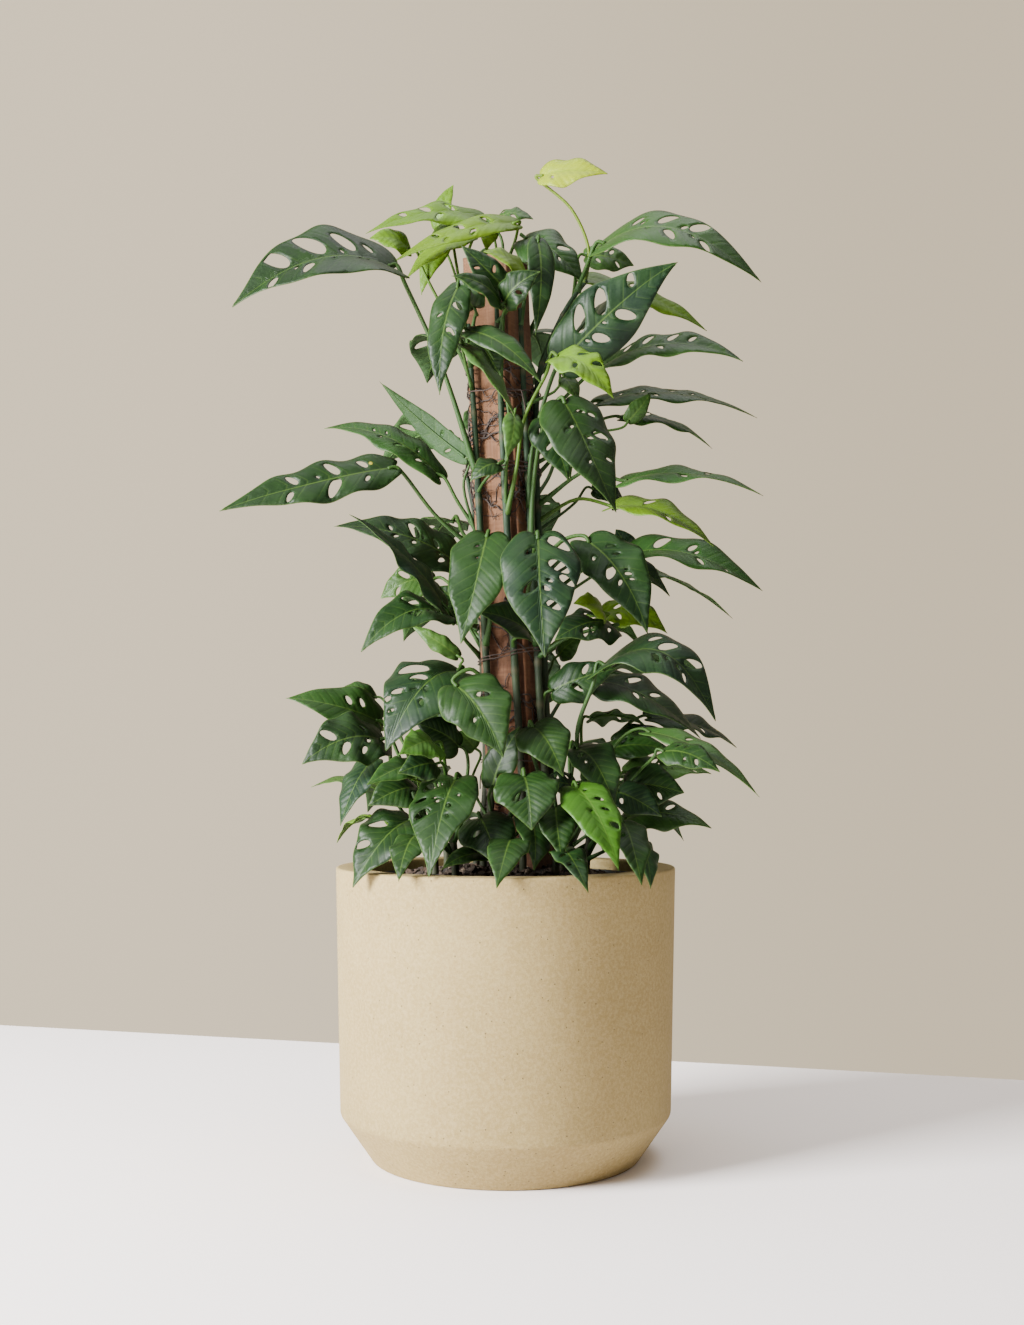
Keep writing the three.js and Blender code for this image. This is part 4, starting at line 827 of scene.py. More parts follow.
def grow_pot_look():
    """Black plastic, dusty in places."""
    look = Look("black_pot_plastic", 0.42)
    dust = look.noise(look.place, 40, 4)
    colour = look.tint((0.012, 0.013, 0.014), (0.06, 0.05, 0.04), dust, 0.45, 0.75, 0.0, 0.35)
    grain = look.noise(look.place, 700, 2)
    return look.finish(colour, look.fade(dust, 0.3, 0.8, 0.35, 0.62), grain, 0.0002, 0.5)


def soil_look():
    """Potting soil: dark crumbs, damp in places."""
    look = Look("potting_soil", 0.95)
    crumbs = look.noise(look.place, 260, 5, 0.7)
    colour = look.ramp(crumbs, (0.32, (0.006, 0.0045, 0.0035)), (0.55, (0.022, 0.015, 0.010)),
                       (0.72, (0.055, 0.038, 0.024)))
    damp = look.noise(look.place, 22)
    colour = look.tint(colour, (0.012, 0.008, 0.006), damp, 0.4, 0.7, 0.0, 0.5)
    return look.finish(colour, None, crumbs, 0.0016, 1.0)


def bark_look():
    """Bark chips, each with a tone of its own."""
    look = Look("bark_chip", 0.9)
    grain = look.noise(look.stretched(1, 0.35, 1), 260, 4, 0.65)
    colour = look.tint(look.attribute("tone"), (0.010, 0.006, 0.004), grain, 0.3, 0.7, 0.0, 0.75)
    return look.finish(colour, None, grain, 0.0012, 1.0)


def wood_look():
    """Rough sawn post: brown near the top, deeper red brown below, fine grain, stains, painted edge
    shade.
    """
    look = Look("rough_sawn_wood", 0.85, Specular_IOR_Level=0.25)
    across, height, _ = look.parts(look.attribute("data"))
    grain = look.noise(look.stretched(1, 1, 0.05), 520, 4, 0.6)
    streaks = look.noise(look.stretched(1, 1, 0.09), 70, 4, 0.6)
    blotch = look.noise(look.stretched(1, 1, 0.5), 22, 4, 0.6)
    saw = look.noise(look.stretched(0.15, 0.15, 1), 420)
    upper = look.tint((0.082, 0.037, 0.016), (0.140, 0.066, 0.030), streaks, 0.25, 0.75)
    lower = look.tint((0.066, 0.027, 0.012), (0.110, 0.046, 0.021), streaks, 0.25, 0.75)
    colour = look.tint(lower, upper, height, 0.40, 0.76)
    colour = look.tint(colour, (0.22, 0.115, 0.060), saw, 0.35, 0.7, 0.0, 0.20)
    colour = look.tint(colour, (0.040, 0.015, 0.008), blotch, 0.55, 0.80, 0.0, 0.55)
    colour = look.tint(colour, (0.030, 0.012, 0.007), grain, 0.56, 0.78, 0.0, 0.36)
    # Painted shade: the front face darkens towards its right edge, beside the face that turns away
    # from the key light.
    rim = look.fade(look.total((across, 1.0), (grain, 0.16)), 0.86, 1.04)
    colour = look.mix(look.times(rim, 0.6), colour, (0.020, 0.009, 0.006))
    relief = look.total((grain, 0.6), (saw, 0.4))
    return look.finish(colour, look.fade(grain, 0.3, 0.7, 0.75, 0.92), relief, 0.0009, 0.9)


def string_look():
    """Dark twisted twine."""
    look = Look("twine", 0.85)
    twist = look.noise(look.place, 500)
    colour = look.mix(twist, (0.012, 0.007, 0.005), (0.046, 0.025, 0.015))
    return look.finish(colour, None, twist, 0.0004, 0.8)


LEAF_SLOTS = [leaf_look("leaf_upper", False), leaf_look("leaf_under", True), stalk_look(),
              stem_look(), root_look()]
UPPER, UNDER, STALK, STEM, ROOT = range(5)


# Flat outlines
def smooth_closed(points, step):
    """Evenly spaced places on the closed curve through the points."""
    count = len(points)
    dense = []
    for i in range(count):
        p0, p1, p2, p3 = (points[(i + k) % count] for k in (-1, 0, 1, 2))
        for j in range(8):
            w = j / 8
            dense.append(0.5 * (2 * p1 + (p2 - p0) * w + (2 * p0 - 5 * p1 + 4 * p2 - p3) * w ** 2
                                + (3 * p1 - p0 - 3 * p2 + p3) * w ** 3))
    dense.append(dense[0])
    total = path_length(dense)
    pieces = max(int(total / step), 12)
    spots = []
    run = target = 0.0
    for a, b in zip(dense, dense[1:]):
        length = (b - a).length
        while target <= run + length and len(spots) < pieces:
            spots.append(a.lerp(b, (target - run) / max(length, 1e-9)))
            target += total / pieces
        run += length
    return spots


def closed(outline):
    """The outline's segments, with the one that closes it."""
    return list(zip(outline, outline[1:] + outline[:1]))


def inside(spot, outline):
    found = False
    for a, b in closed(outline):
        if (a.y > spot.y) != (b.y > spot.y):
            crossing = (b.x - a.x) * (spot.y - a.y) / (b.y - a.y) + a.x
            found = found != (spot.x < crossing)
    return found


def distance(spot, segments):
    best = math.inf
    for a, b in segments:
        run = b - a
        share = min(max((spot - a).dot(run) / max(run.length_squared, 1e-9), 0), 1)
        best = min(best, (a + run * share - spot).length_squared)
    return math.sqrt(best)


def hull(spots):
    """The convex outline around the spots, anticlockwise."""
    spots = sorted(spots)
    out = []
    for run in (spots, spots[::-1]):
        part = []
        for spot in run:
            while len(part) > 1 and ((part[-1][0] - part[-2][0]) * (spot[1] - part[-2][1])
                                     - (part[-1][1] - part[-2][1]) * (spot[0] - part[-2][0])) <= 0:
                part.pop()
            part.append(spot)
        out += part[:-1]
    return out


# Blades
def hole_outline(hole, length, half):
    """A hole's outline: an egg along the side veins, kept clear of midrib and margin."""
    share, across, size = hole
    hand = 1 if across > 0 else -1
    reach = size * half
    along = Vector((math.cos(VEIN_ANGLE), hand * math.sin(VEIN_ANGLE)))
    aside = Vector((-along.y, along.x))
    centre = Vector((share * length, across * half))
    count = max(10, int(reach * 1.6))
    spots = []
    for k in range(count):
        angle = 2 * math.pi * k / count
        plump = 1 - 0.18 * math.cos(angle)
        spot = (centre + along * (reach * math.cos(angle))
                + aside * (reach * HOLE_SLIM * plump * 1.08 * math.sin(angle)))
        low = HOLE_EDGE * 0.8
        outline_share = max(spot.x / length, MARGIN[MARGIN_BASE][0])
        high = read_off(MARGIN[MARGIN_BASE:], outline_share) * half - HOLE_EDGE * 0.9
        spot.y = hand * min(max(hand * spot.y, low), max(high, low + 0.2))
        if not spots or (spot - spots[-1]).length > 0.35:
            spots.append(spot)
    return spots


def vein_phases(holes, hand, length, half, spacing):
    """Pairs of a place on the midrib and a phase, so that the side veins pass between the holes."""
    places = sorted((h[0] * length - abs(h[1]) * half / math.tan(VEIN_ANGLE)) for h in holes
                    if h[1] * hand > 0)
    pairs = []
    for place in places:
        if pairs and place - pairs[-1][0] < spacing * 0.45:
            continue
        step = max(1, round((place - pairs[-1][0]) / spacing)) if pairs else 0
        pairs.append((place, pairs[-1][1] + step if pairs else 0.0))
    if not pairs:
        pairs = [(spacing * 0.4, 0.0)]
    pairs.insert(0, (pairs[0][0] - spacing * 20, pairs[0][1] - 20))
    pairs.append((pairs[-1][0] + spacing * 20, pairs[-1][1] + 20))
    return pairs


class Blade:
    """A leaf blade's place in space, and the thin shell that fills it."""

    def __init__(self, base, tip, width, face, bow, rng):
        self.foot = base
        self.length = (tip - base).length
        self.along = (tip - base).normalized()
        up = Vector(face)
        self.up = (up - self.along * up.dot(self.along)).normalized()
        self.side = self.along.cross(self.up)
        self.half = width / 2
        self.broad = self.half > BROAD_HALF
        self.grid = BLADE_GRID[self.broad]
        self.bow = bow
        self.phases = (rng.uniform(0, 2 * math.pi), rng.uniform(0, 2 * math.pi))
        self.waves = rng.uniform(*EDGE_WAVES)
        self.sweep = rng.choice((-1, 1)) * rng.uniform(*SIDEWAYS_SWEEP)
        self.wave = min(0.155 * self.half, 3.6) * rng.uniform(*EDGE_WAVE_SIZE)
        self.uneven = rng.uniform(*SIDES_UNEVEN)
        self.cup = rng.uniform(*CUP)
        self.twist = rng.uniform(*TWIST)
        self.fold = FOLD * rng.uniform(*FOLD_SIZE)
        self.sag = rng.uniform(*TIP_SAG)

    def normal(self, share):
        slope = 3.8 * (1.3 - 3.8 * share + 1.8 * share ** 2)
        return (self.up - self.along * (self.bow * slope / self.length)).normalized()

    def point(self, share, across, lift=0.0):
        """A place on the blade; share runs from base to tip, and across from -1 to 1."""
        arch = 3.8 * share * (1 - share) * (1.3 - 0.6 * share)
        side = min(abs(across), 1.0)
        right = across > 0
        dish = self.half * (self.fold * side - CURL * side ** 2 + self.cup * side ** 2)
        phase = self.phases[right] + 2 * math.pi * self.waves * share
        ripple = self.wave * side ** 2 * math.sin(phase)
        drift = self.sweep * self.length * share * (1 - share)
        spread = across * self.half * (1 + (self.uneven if right else -self.uneven)) + drift
        angle = self.twist * share
        rise = dish + ripple + lift + spread * math.sin(angle)
        sag = Vector((0, 0, self.sag * self.length * max(share - TIP_SAG_START, 0) ** 2))
        return (self.foot + self.along * (share * self.length) + self.up * (self.bow * arch) - sag
                + self.side * (spread * math.cos(angle)) + self.normal(share) * rise)

    def edge(self, rng):
        """The blade's outline, each side with slow bulges of its own."""
        sides = {}
        for hand in (1, -1):
            lobes = rng.uniform(*MARGIN_LOBES) * 2 * math.pi
            shift = rng.uniform(0, 2 * math.pi)
            sides[hand] = [Vector((share * self.length, hand * across * self.half
                                   * (1 + MARGIN_UNEVEN * math.sin(shift + lobes * share))))
                           for share, across in MARGIN]
        spots = smooth_closed(sides[1] + sides[-1][-2:0:-1], MARGIN_STEP[self.broad])
        for spot in spots:
            if abs(spot.y) < 0.3 * self.grid and spot.x > 0:
                spot.y *= 0.5
        return spots

    def small_holes(self, holes, rng):
        """Slits for a leaf without noted holes, and pin holes beside the midrib of a large one."""
        small = []
        if not holes and 2 * self.half > SLIT_WIDTH and rng.random() < SLIT_CHANCE:
            hand = rng.choice((-1, 1))
            for k in range(rng.randint(*SLITS)):
                small.append([0.2 + 0.13 * k + rng.uniform(-0.03, 0.03),
                              hand * rng.uniform(0.3, 0.5), rng.uniform(*SLIT_SIZE)])
                hand = -hand if rng.random() < 0.6 else hand
        if 2 * self.half > PIN_HOLE_WIDTH and len(holes) >= PIN_HOLE_LEAST:
            for _ in range(rng.randint(*PIN_HOLES)):
                small.append([rng.uniform(0.06, 0.62),
                              rng.choice((-1, 1)) * rng.uniform(0.12, 0.24),
                              rng.uniform(*PIN_HOLE_SIZE)])
        return small

    def net(self, outlines, rng):
        """Triangles that fill the blade evenly, with edges along its outlines and midrib."""
        length, grid = self.length, self.grid
        flat, edges = [], []
        for outline in outlines:
            first = len(flat)
            flat += outline
            edges += [(first + k, first + (k + 1) % len(outline)) for k in range(len(outline))]
        steps = max(6, int(length / (grid * 1.1)))
        back = min(spot.x for spot in outlines[0] if abs(spot.y) < 1.5) + 0.6
        edges += [(len(flat) + k, len(flat) + k + 1) for k in range(steps)]
        rib = [back + (length * 0.975 - back) * k / steps for k in range(steps + 1)]
        flat += [Vector((x, 0.0)) for x in rib]
        segments = [segment for outline in outlines for segment in closed(outline)]
        rim, *rings = outlines

        def solid(spot):
            return inside(spot, rim) and not any(inside(spot, ring) for ring in rings)

        row = 0
        y = -self.half
        while y <= self.half:
            x = -0.08 * length + (0.5 * grid if row % 2 else 0)
            while x <= length:
                spot = Vector((x + rng.uniform(-0.4, 0.4), y + rng.uniform(-0.4, 0.4)))
                within = abs(spot.y) > grid * 0.45 and solid(spot)
                if within and distance(spot, segments) > grid * 0.42:
                    flat.append(spot)
                x += grid
            y += grid * 0.87
            row += 1
        verts, _, tris, _, _, _ = delaunay_2d_cdt(flat, edges, [], 1, 1e-4)
        kept = [tri for tri in tris
                if solid((verts[tri[0]] + verts[tri[1]] + verts[tri[2]]) / 3)]
        return verts, kept

    def fill(self, build, holes, tone, rng):
        """The blade's thin shell, with its holes, its side veins' phases and its own shade."""
        length, half = self.length, self.half
        outlines = [self.edge(rng)]
        small = self.small_holes(holes, rng)
        for hole in sorted(holes, key=lambda h: -h[2]) + small:
            ring = hole_outline(hole, length, half)
            others = [spot for other in outlines[1:] for spot in other]
            if not others or (len(ring) > 5 and min((a - b).length for a in others for b in ring)
                              > HOLES_APART):
                outlines.append(ring)
        verts, kept = self.net(outlines, rng)
        spacing = length / (rng.uniform(*SIDE_VEINS) if half > 16 else 6.5)
        pairs = {hand: vein_phases(holes, hand, length, half, spacing) for hand in (1, -1)}
        shade = rng.uniform(*SHADE)
        hue = rng.uniform(*HUE)
        colour = (tone[0] * shade * (1 + hue), tone[1] * shade, tone[2] * shade * (1 - hue))
        margin_segments = closed(outlines[0])
        top, bottom = {}, {}
        for i in sorted({i for tri in kept for i in tri}):
            spot = verts[i]
            share = spot.x / length
            off = abs(spot.y)
            course = spot.x - off / math.tan(VEIN_ANGLE) - 0.12 * off * off / half
            phase = read_off(pairs[1 if spot.y > 0 else -1], course)
            margin = distance(spot, margin_segments)
            quilt = 0.24 * math.cos(2 * math.pi * phase) * min(off / 6, 1) * min(margin / 5, 1)
            thin = BLADE_THICKNESS / 2 * (0.55 + 0.45 * min(margin / 2.5, 1))
            point = self.point(share, spot.y / half, -quilt)
            face = self.normal(share)
            values = (spot.x / 100, spot.y / 100), colour, (phase, off, share), (margin, spacing, 0)
            top[i] = build.add(point + face * thin, *values)
            bottom[i] = build.add(point - face * thin, *values)
        sides = {side for tri in kept for side in closed(tuple(tri))}
        flip = self.side.cross(self.along).dot(self.up) > 0
        for tri in kept:
            area = (verts[tri[1]] - verts[tri[0]]).cross(verts[tri[2]] - verts[tri[0]])
            turned = (area > 0) == flip
            faces = [([top[i] for i in tri], UPPER, turned),
                     ([bottom[i] for i in tri], UNDER, not turned)]
            for a, b in closed(tuple(tri)):
                if (b, a) not in sides:
                    faces.append(([top[a], bottom[a], bottom[b], top[b]], UPPER, turned))
            for corners, slot, reverse in faces:
                build.face(tuple(reversed(corners) if reverse else corners), slot)


# Plants
def triples(numbers):
    return [numbers[k:k + 3] for k in range(0, len(numbers), 3)]


def grow_leaf(build, row, stem, rng):
    """A petiole with its knee, and the blade with its midrib."""
    height, vias, base, tip, width, face, bow, holes, tone_name = row
    tone = TONES[tone_name]
    base, tip = from_front(base), from_front(tip)
    holes = [[part / 100 for part in hole] for hole in triples(holes)]
    blade = Blade(base, tip, width, [part / 100 for part in face], bow, rng)
    knee = base - blade.along * KNEE
    vias = [from_front(via) for via in triples(vias)]
    path = sampled([at_height(stem, height), *vias, knee, base], 5)
    radius = PETIOLE_RADIUS * (0.62 + 0.012 * min(width, 62))
    radii = []
    for k in range(len(path)):
        share = k / (len(path) - 1)
        swell = 1 + 0.75 * max(0, 1 - share * 4.5) ** 1.5
        knob = 0.22 * math.exp(-((share - 0.955) / 0.03) ** 2)
        radii.append(radius * (swell * (1 - 0.12 * share) + knob))
    green = tuple(0.5 * part + 0.5 * fresh for part, fresh in zip(tone, FRESH_STALK))
    build.tube(path, radii, 8, STALK, green, seed=rng.random())
    rib = []
    rib_radii = []
    count = max(8, int(blade.length / 6))
    for k in range(count + 1):
        share = -0.02 + 0.93 * k / count
        thick = radius * 0.78 * (1 - share) ** 1.1 + 0.22
        rib.append(blade.point(share, 0, -thick * 0.75))
        rib_radii.append(thick)
    build.tube(rib, rib_radii, 6, STALK, green, seed=rng.random())
    blade.fill(build, holes, tone, rng)


def grow_stem(build, stem, rng):
    """A stem that tapers near its top, with swellings and ring scars at its nodes."""
    path = sampled(stem, 3.5)
    runs = [0.0]
    for a, b in zip(path, path[1:]):
        runs.append(runs[-1] + (b - a).length)
    next_node = rng.uniform(*FIRST_NODE)
    nodes = []
    for run in runs:
        if run > next_node:
            nodes.append(run)
            next_node += rng.uniform(*NODE_SPACING)
    radii = []
    scars = []
    for run in runs:
        near = min((abs(run - node) for node in nodes), default=99)
        taper = 1 - 0.42 * max(0, (run / runs[-1] - 0.55) / 0.45) ** 1.6
        radii.append(STEM_RADIUS * (0.97 * taper) + 0.55 * math.exp(-(near / 3) ** 2))
        scars.append(math.exp(-(near / 1.8) ** 2))
    build.tube(path, radii, 12, STEM, seed=rng.random(), scars=scars)


def post_surface(turn, height, lift):
    """A place on the post's faces; turn runs from 0 to 4 around its four faces."""
    side = int(turn) % 4
    share = 2 * (turn - int(turn)) - 1
    spot = Matrix.Rotation(side * math.pi / 2 - math.radians(POST_TURN), 3, "Z") @ Vector(
        (POST_WIDTH / 2 + lift, share * POST_WIDTH / 2, 0))
    axis = post_axis(height)
    return Vector((axis.x + spot.x, axis.y + spot.y, height))


def roots(build, stem, rng):
    """Thin aerial roots that leave the stem, reach the post and wander over its faces."""
    for _ in range(ROOTS_A_VINE):
        height = rng.gauss(rng.choice(ROOT_HEIGHTS), ROOT_SPREAD)
        height = min(max(height, ROOT_LOWEST), ROOT_HIGHEST)
        start = at_height(stem, height)
        turn = min((k / 12 for k in range(48)),
                   key=lambda t: (post_surface(t, height, 1) - start).length)
        path = [start]
        heading = rng.choice((-1, 1)) * rng.uniform(0.02, 0.16)
        for _ in range(rng.randint(5, 14)):
            turn += heading + rng.uniform(-0.05, 0.05)
            height += rng.uniform(-9, 3.5)
            path.append(post_surface(turn % 4, height, rng.uniform(0.4, 2.4)))
        path = sampled(path, 2.5)
        thick = rng.uniform(*ROOT_RADIUS)
        radii = [thick * (1 - 0.6 * k / (len(path) - 1)) for k in range(len(path))]
        build.tube(path, radii, 5, ROOT, seed=rng.random())


def grow_plant(name, stem, rows):
    rng = random.Random(name)
    build = Build()
    grow_stem(build, stem, rng)
    for row in rows:
        grow_leaf(build, row, stem, random.Random(f"{name}{list(row[2])}"))
    if name.startswith("vine"):
        roots(build, stem, rng)
    build.piece(name + "_grown", LEAF_SLOTS, name)


# Planter, grow pot and soil
def turned(build, profile, sides):
    """A closed form turned around Z. The profile starts and ends on the axis."""
    rings = []
    for radius, height in profile:
        places = circle(radius, sides) if radius else [(0, 0)]
        rings.append([build.add((x, y, height)) for x, y in places])
    for lower, upper in zip(rings, rings[1:]):
        build.band(lower, upper)


def rounded(profile, radius, steps=4):
    """The profile with each of its inner corners rounded off."""
    spots = [Vector(point) for point in profile]
    out = [spots[0]]
    for before, corner, after in zip(spots, spots[1:], spots[2:]):
        cut = min(radius, (corner - before).length * 0.45, (after - corner).length * 0.45)
        start = corner + (before - corner).normalized() * cut
        end = corner + (after - corner).normalized() * cut
        for k in range(steps + 1):
            w = k / steps
            out.append(start * (1 - w) ** 2 + corner * (2 * w * (1 - w)) + end * w ** 2)
    out.append(spots[-1])
    return [(point.x, point.y) for point in out]


def divided(profile, step):
    """The profile with its long stretches divided."""
    out = [profile[0]]
    for (r0, z0), (r1, z1) in zip(profile, profile[1:]):
        pieces = max(1, int(math.hypot(r1 - r0, z1 - z0) / step))
        for k in range(1, pieces + 1):
            out.append((r0 + (r1 - r0) * k / pieces, z0 + (z1 - z0) * k / pieces))
    return out


def make_planter():
    build = Build()
    inner = PLANTER_RIM_RADIUS - PLANTER_WALL
    profile = rounded([(0, 0), (PLANTER_FOOT_RADIUS, 0),
                       (PLANTER_CREASE_RADIUS, PLANTER_CREASE_HEIGHT),
                       (PLANTER_RIM_RADIUS, PLANTER_HEIGHT), (inner, PLANTER_HEIGHT),
                       (inner - PLANTER_TAPER, PLANTER_FLOOR), (0, PLANTER_FLOOR)],
                      PLANTER_ROUNDING)
    turned(build, divided(profile, 12), 180)
    build.piece("planter_cast", [planter_look()], "planter")


def make_grow_pot():
    build = Build()
    foot = PLANTER_FLOOR + GAP
    top = foot + GROW_POT_HEIGHT
    shoulder = top - GROW_POT_LIP_HEIGHT
    outer = GROW_POT_TOP_RADIUS + GROW_POT_LIP
    profile = rounded([(0, foot), (GROW_POT_FOOT_RADIUS, foot), (GROW_POT_TOP_RADIUS, shoulder),
                       (outer, shoulder), (outer, top), (outer - GROW_POT_WALL, top),
                       (GROW_POT_TOP_RADIUS - GROW_POT_WALL, shoulder),
                       (GROW_POT_FOOT_RADIUS - GROW_POT_WALL, foot + GROW_POT_WALL),
                       (0, foot + GROW_POT_WALL)], GROW_POT_ROUNDING, 3)
    turned(build, divided(profile, 14), 120)
    build.piece("grow_pot_moulded", [grow_pot_look()], "grow_pot")


def soil_height(x, y):
    height = read_off(SOIL_PROFILE, math.hypot(x, y) / SOIL_RADIUS)
    lumps = sum(wobble(x / width, y / width, layer) * rise for width, layer, rise in SOIL_LUMPS)
    return height + lumps


def make_soil():
    """The soil: a lumpy heap, its sides within the grow pot, and bark chips on it."""
    rng = random.Random("soil")
    build = Build()
    foot = PLANTER_FLOOR + GAP + GROW_POT_WALL + GAP
    foot_radius = GROW_POT_FOOT_RADIUS - GROW_POT_WALL - 1
    rows = [[build.add((0, 0, soil_height(0, 0)))]]
    for ring in range(1, SOIL_RINGS + 1):
        places = circle(SOIL_RADIUS * ring / SOIL_RINGS, SOIL_SIDES, 0.5 * (ring % 2))
        rows.append([build.add((x, y, soil_height(x, y))) for x, y in places])
    for share in (0.96, 0.75, 0.5, 0.25, 0.0):
        places = circle(foot_radius + (SOIL_RADIUS - 1 - foot_radius) * share, SOIL_SIDES)
        rows.append([build.add((x, y, foot + (SOIL_WALL_TOP - foot) * share)) for x, y in places])
    rows.append([build.add((0, 0, foot))])
    for outer, inner in zip(rows[1:], rows):
        build.band(outer, inner, first=3)
    for _ in range(SOIL_CHIPS):
        angle = rng.uniform(0, 2 * math.pi)
        radius = (SOIL_RADIUS - 7) * math.sqrt(rng.random())
        chip(build, radius * math.cos(angle), radius * math.sin(angle), rng)
    build.piece("soil_heaped", [soil_look(), bark_look()], "soil", smooth=False)


def chip(build, x, y, rng):
    """One bark chip: a flat, broken lump lying at the soil's surface."""
    size = rng.uniform(*CHIP_SIZE)
    if math.hypot(x, y) + size > SOIL_RADIUS - 1:
        return
    turn = Quaternion((0, 0, 1), rng.uniform(0, 6.28)) @ Quaternion(
        (rng.uniform(-1, 1), rng.uniform(-1, 1), 0), rng.uniform(-0.9, 0.9))
    centre = Vector((x, y, soil_height(x, y) + size * rng.uniform(-0.15, 0.35)))
    shade = rng.uniform(0.25, 1.0)
    pale = rng.random() < PALE_CHIP_CHANCE
    tone = tuple(part * shade for part in (PALE_CHIP_TONE if pale else CHIP_TONE))
    sides = rng.randint(5, 7)
    stretch = rng.uniform(0.5, 0.9)
    thick = size * rng.uniform(0.18, 0.42)
    loops = []
    for level, spread in ((-1, 0.72), (0, 1.0), (1, 0.78)):
        loop = []
        for across, along in circle(1, sides):
            reach = size * spread * rng.uniform(0.75, 1.12)
            rise = level * thick * rng.uniform(0.7, 1.2)
            offset = Vector((reach * across, reach * along * stretch, rise))
            loop.append(build.add(centre + turn @ offset, tone=tone))
        loops.append(loop)
    build.face(tuple(reversed(loops[0])), 1)
    build.face(tuple(loops[-1]), 1)
    for lower, upper in zip(loops, loops[1:]):
        build.band(lower, upper, 1)


# Post and ties
def post_ring(build, height, lift_end):
    """A ring of points around the post, with torn fibres and worn corners."""
    turn = Matrix.Rotation(math.radians(-POST_TURN), 3, "Z")
    axis = post_axis(height)
    row = []
    for side in range(4):
        for k in range(POST_ACROSS):
            share = -1 + 2 * k / POST_ACROSS
            corner = max(0, abs(share) - POST_WEAR_START) / (1 - POST_WEAR_START)
            worn = wobble(side * 7 + (share > 0), height / 23, 5)
            fibre = wobble(share * 9 + side * 31, height / 60, 1)
            torn = wobble(share * 22 + side * 13, height / 22, 2)
            depth = POST_WIDTH / 2 - corner ** 2 * (1.1 + 0.9 * worn)
            depth += 0.35 * fibre + 0.28 * torn - 0.3
            point = turn @ (Matrix.Rotation(side * math.pi / 2, 3, "Z")
                            @ Vector((depth, share * POST_WIDTH / 2, 0)))
            lift = 1.1 * wobble(point.x / 6, point.y / 6, 8) - POST_END_SUNK if lift_end else 0.0
            # The first data value runs across the front face only; it places the painted shade at
            # that face's right edge.
            row.append(build.add((axis.x + point.x, axis.y + point.y, height + lift),
                                 ((side + share) / 4, height / 100),
                                 data=((share + 1) / 2 if side == 3 else 0.5, height / 1000, side)))
    return row


def post_end(build, row, height, up):
    """Closes the post's end, with rings that shrink towards its middle."""
    axis = post_axis(height)
    middle = Vector((axis.x, axis.y, height - (POST_END_SUNK if up else 0)))
    rings = [row]
    for shrink in (0.8, 0.55, 0.3, 0):
        inner = []
        for index in row if shrink else row[:1]:
            spot = middle + (build.points[index] / MM - middle) * shrink
            if up and shrink:
                spot.z = height - POST_END_SUNK + wobble(spot.x / 5, spot.y / 5, 4)
            inner.append(build.add(spot, data=(0.5, height / 1000, 5)))
        rings.append(inner)
        build.band(*(rings[-2:] if up else rings[:-3:-1]))


def make_post():
    """Rough sawn square post with its ties."""
    build = Build()
    levels = int((POST_TOP - POST_BOTTOM) / POST_STEP)
    rows = []
    for level in range(levels + 1):
        height = POST_BOTTOM + (POST_TOP - POST_BOTTOM) * level / levels
        rows.append(post_ring(build, height, level == levels))
    for lower, upper in zip(rows, rows[1:]):
        build.band(lower, upper)
    post_end(build, rows[0], POST_BOTTOM, False)
    post_end(build, rows[-1], POST_TOP, True)
    ties(build, 1)
    build.piece("post_sawn", [wood_look(), string_look()], "post")


def ties(build, slot):
    """Dark twine bound around the post and the vines, each binding with a few uneven turns."""
    rng = random.Random("ties")
    stems = [stem for name, (stem, _) in PLANTS.items() if name.startswith("vine")]
    for height, turns in TIES:
        spots = [post_surface(turn, height, 1.2).xy.to_tuple() for turn in range(4)]
        for stem in stems:
            centre = at_height(stem, height)
            if abs(centre.z - height) < 2:
                spots += [(centre.x + x, centre.y + y) for x, y in circle(STEM_RADIUS + 1.1, 12)]
        around = smooth_closed([Vector(spot) for spot in hull(spots)], 6.0)
        start = rng.randint(0, len(around) - 1)
        slants = [rng.uniform(-7, 7) for _ in range(turns + 2)]
        path = []
        for k in range(int(len(around) * (turns + 0.15))):
            spot = around[(start + k) % len(around)]
            turn, share = divmod(k / len(around), 1)
            slant = slants[int(turn)] * (1 - share) + slants[int(turn) + 1] * share
            sway = slant * math.sin(2 * math.pi * share) + TIE_RISE * turn + TIE_RISE * share
            path.append(Vector((*spot, height + sway + rng.uniform(-0.7, 0.7))))
        out = (path[-1] - Vector((*post_axis(height).xy, path[-1].z))).normalized()
        for drop in (1.5, 4.5, 8, 12):
            away = out * rng.uniform(0.2, 1.6)
            path.append(path[-1] + away + Vector((rng.uniform(-2, 2), 0, -drop)))
        path = sampled(path, 3.0)
        build.tube(path, [TIE_RADIUS] * len(path), 6, slot, seed=rng.random())


# Stage, lights and camera
def stage_plane(name, corners, material):
    mesh = bpy.data.meshes.new(name)
    mesh.from_pydata([Vector(corner) for corner in corners], [], [tuple(range(len(corners)))])
    mesh.materials.append(material)
    obj = bpy.data.objects.new(name, mesh)
    bpy.context.scene.collection.objects.link(obj)


def floor_look():
    """Pale floor, barely uneven in tone."""
    look = Look("pale_floor", 0.9, Specular_IOR_Level=0.1)
    shade = tuple(value * FLOOR_DRIFT for value in FLOOR_COLOUR)
    return look.finish(look.mix(look.noise(look.place, 0.8, 2), FLOOR_COLOUR, shade))


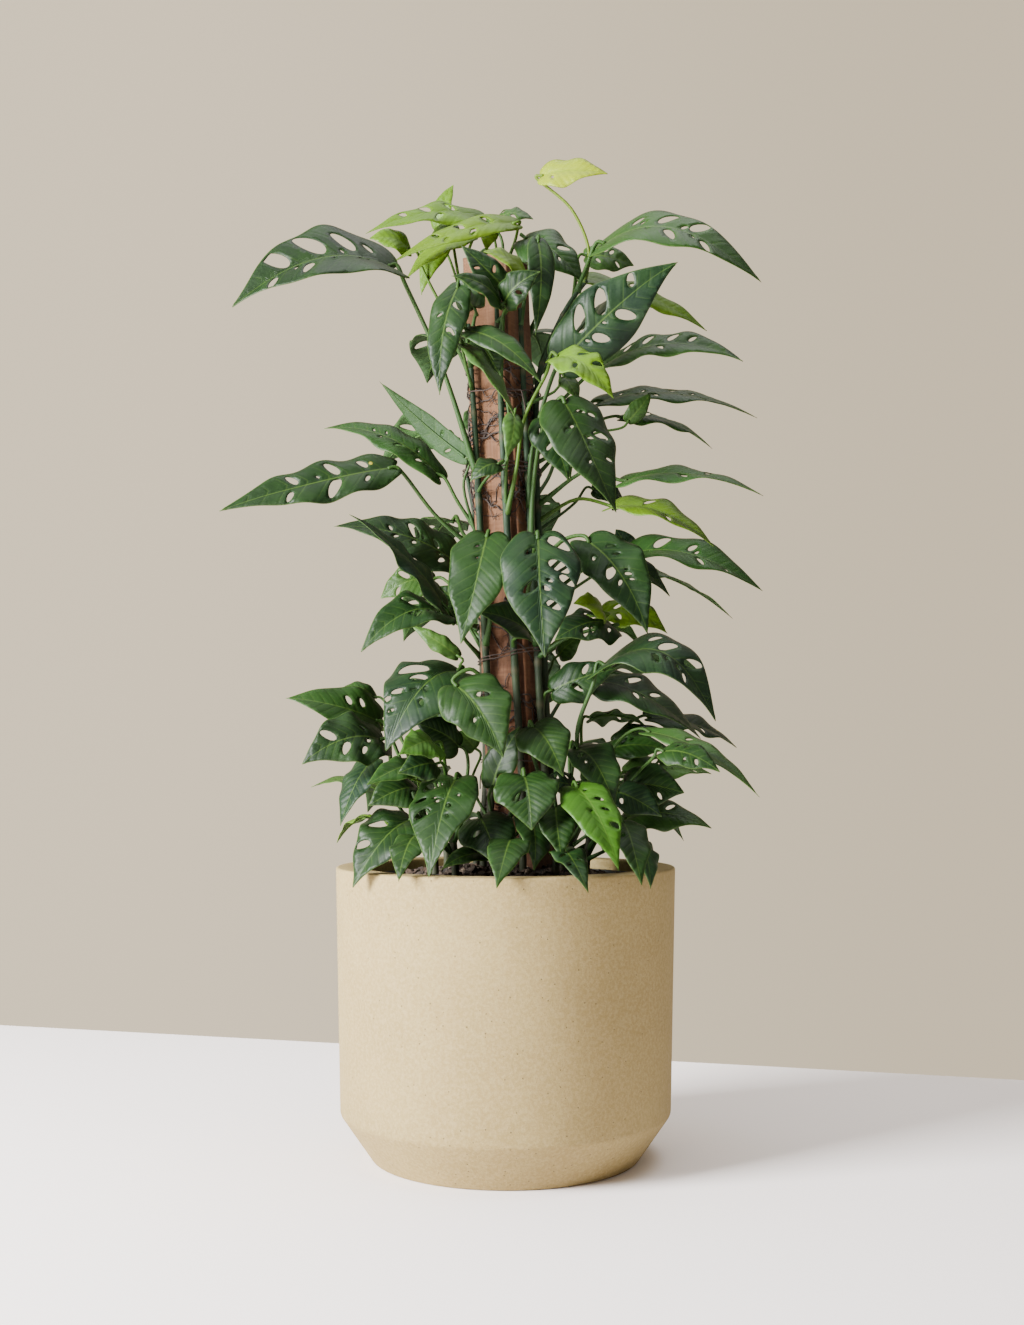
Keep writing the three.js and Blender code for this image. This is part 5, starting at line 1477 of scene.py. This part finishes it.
def backdrop_look():
    """A far beige wall that glows, with painted light falloff from a brighter left to a darker
    right.
    """
    look = Look("backdrop", 1.0)
    across = look.parts(look.place)[0]
    # Painted light falloff across the wall
    colour = look.tint(BACKDROP_LIT_LEFT, BACKDROP_SHADED_RIGHT, across, -1.6, 1.6)
    look.feed(look.shader.inputs["Emission Color"], colour)
    look.shader.inputs["Emission Strength"].default_value = 1
    return look.finish((0, 0, 0))


def make_stage():
    """A pale floor that ends behind the planter along a slanted line, and a far wall."""
    corners = [(-FLOOR_REACH, -FLOOR_REACH, 0), (FLOOR_REACH, -FLOOR_REACH, 0)]
    for x in (FLOOR_REACH, -FLOOR_REACH):
        corners.append((x, FLOOR_END + FLOOR_SLANT * x, 0))
    stage_plane("floor", corners, floor_look())
    wide, low, high = BACKDROP_REACH
    corners = [(-wide, low), (wide, low), (wide, high), (-wide, high)]
    stage_plane("backdrop", [(x, BACKDROP_AWAY, height) for x, height in corners], backdrop_look())


def make_lights():
    world = bpy.data.worlds.new("studio")
    world.use_nodes = True
    bpy.context.scene.world = world
    background = world.node_tree.nodes["Background"]
    background.inputs["Color"].default_value = (*SURROUNDINGS, 1)
    background.inputs["Strength"].default_value = 1
    for name, place, target, size, power in LIGHTS:
        light = bpy.data.lights.new(name, "AREA")
        light.shape = "RECTANGLE"
        light.size, light.size_y = size
        light.energy = power
        obj = bpy.data.objects.new(name, light)
        bpy.context.scene.collection.objects.link(obj)
        obj.location = place
        obj.rotation_euler = (Vector(target) - Vector(place)).to_track_quat("-Z", "Y").to_euler()


def make_camera():
    data = bpy.data.cameras.new("camera")
    data.lens = LENS
    data.sensor_width = 36
    data.shift_x = SHIFT_X
    data.shift_y = SHIFT_Y
    data.clip_start = 0.05
    data.clip_end = 30
    camera = bpy.data.objects.new("camera", data)
    bpy.context.scene.collection.objects.link(camera)
    camera.location = (0, -CAMERA_DISTANCE * MM, EYE_HEIGHT * MM)
    camera.rotation_euler = (math.pi / 2, 0, 0)
    bpy.context.scene.camera = camera


make_camera()
make_lights()
make_stage()
make_planter()
make_grow_pot()
make_soil()
make_post()
for plant_name, (plant_stem, plant_rows) in PLANTS.items():
    grow_plant(plant_name, plant_stem, plant_rows)
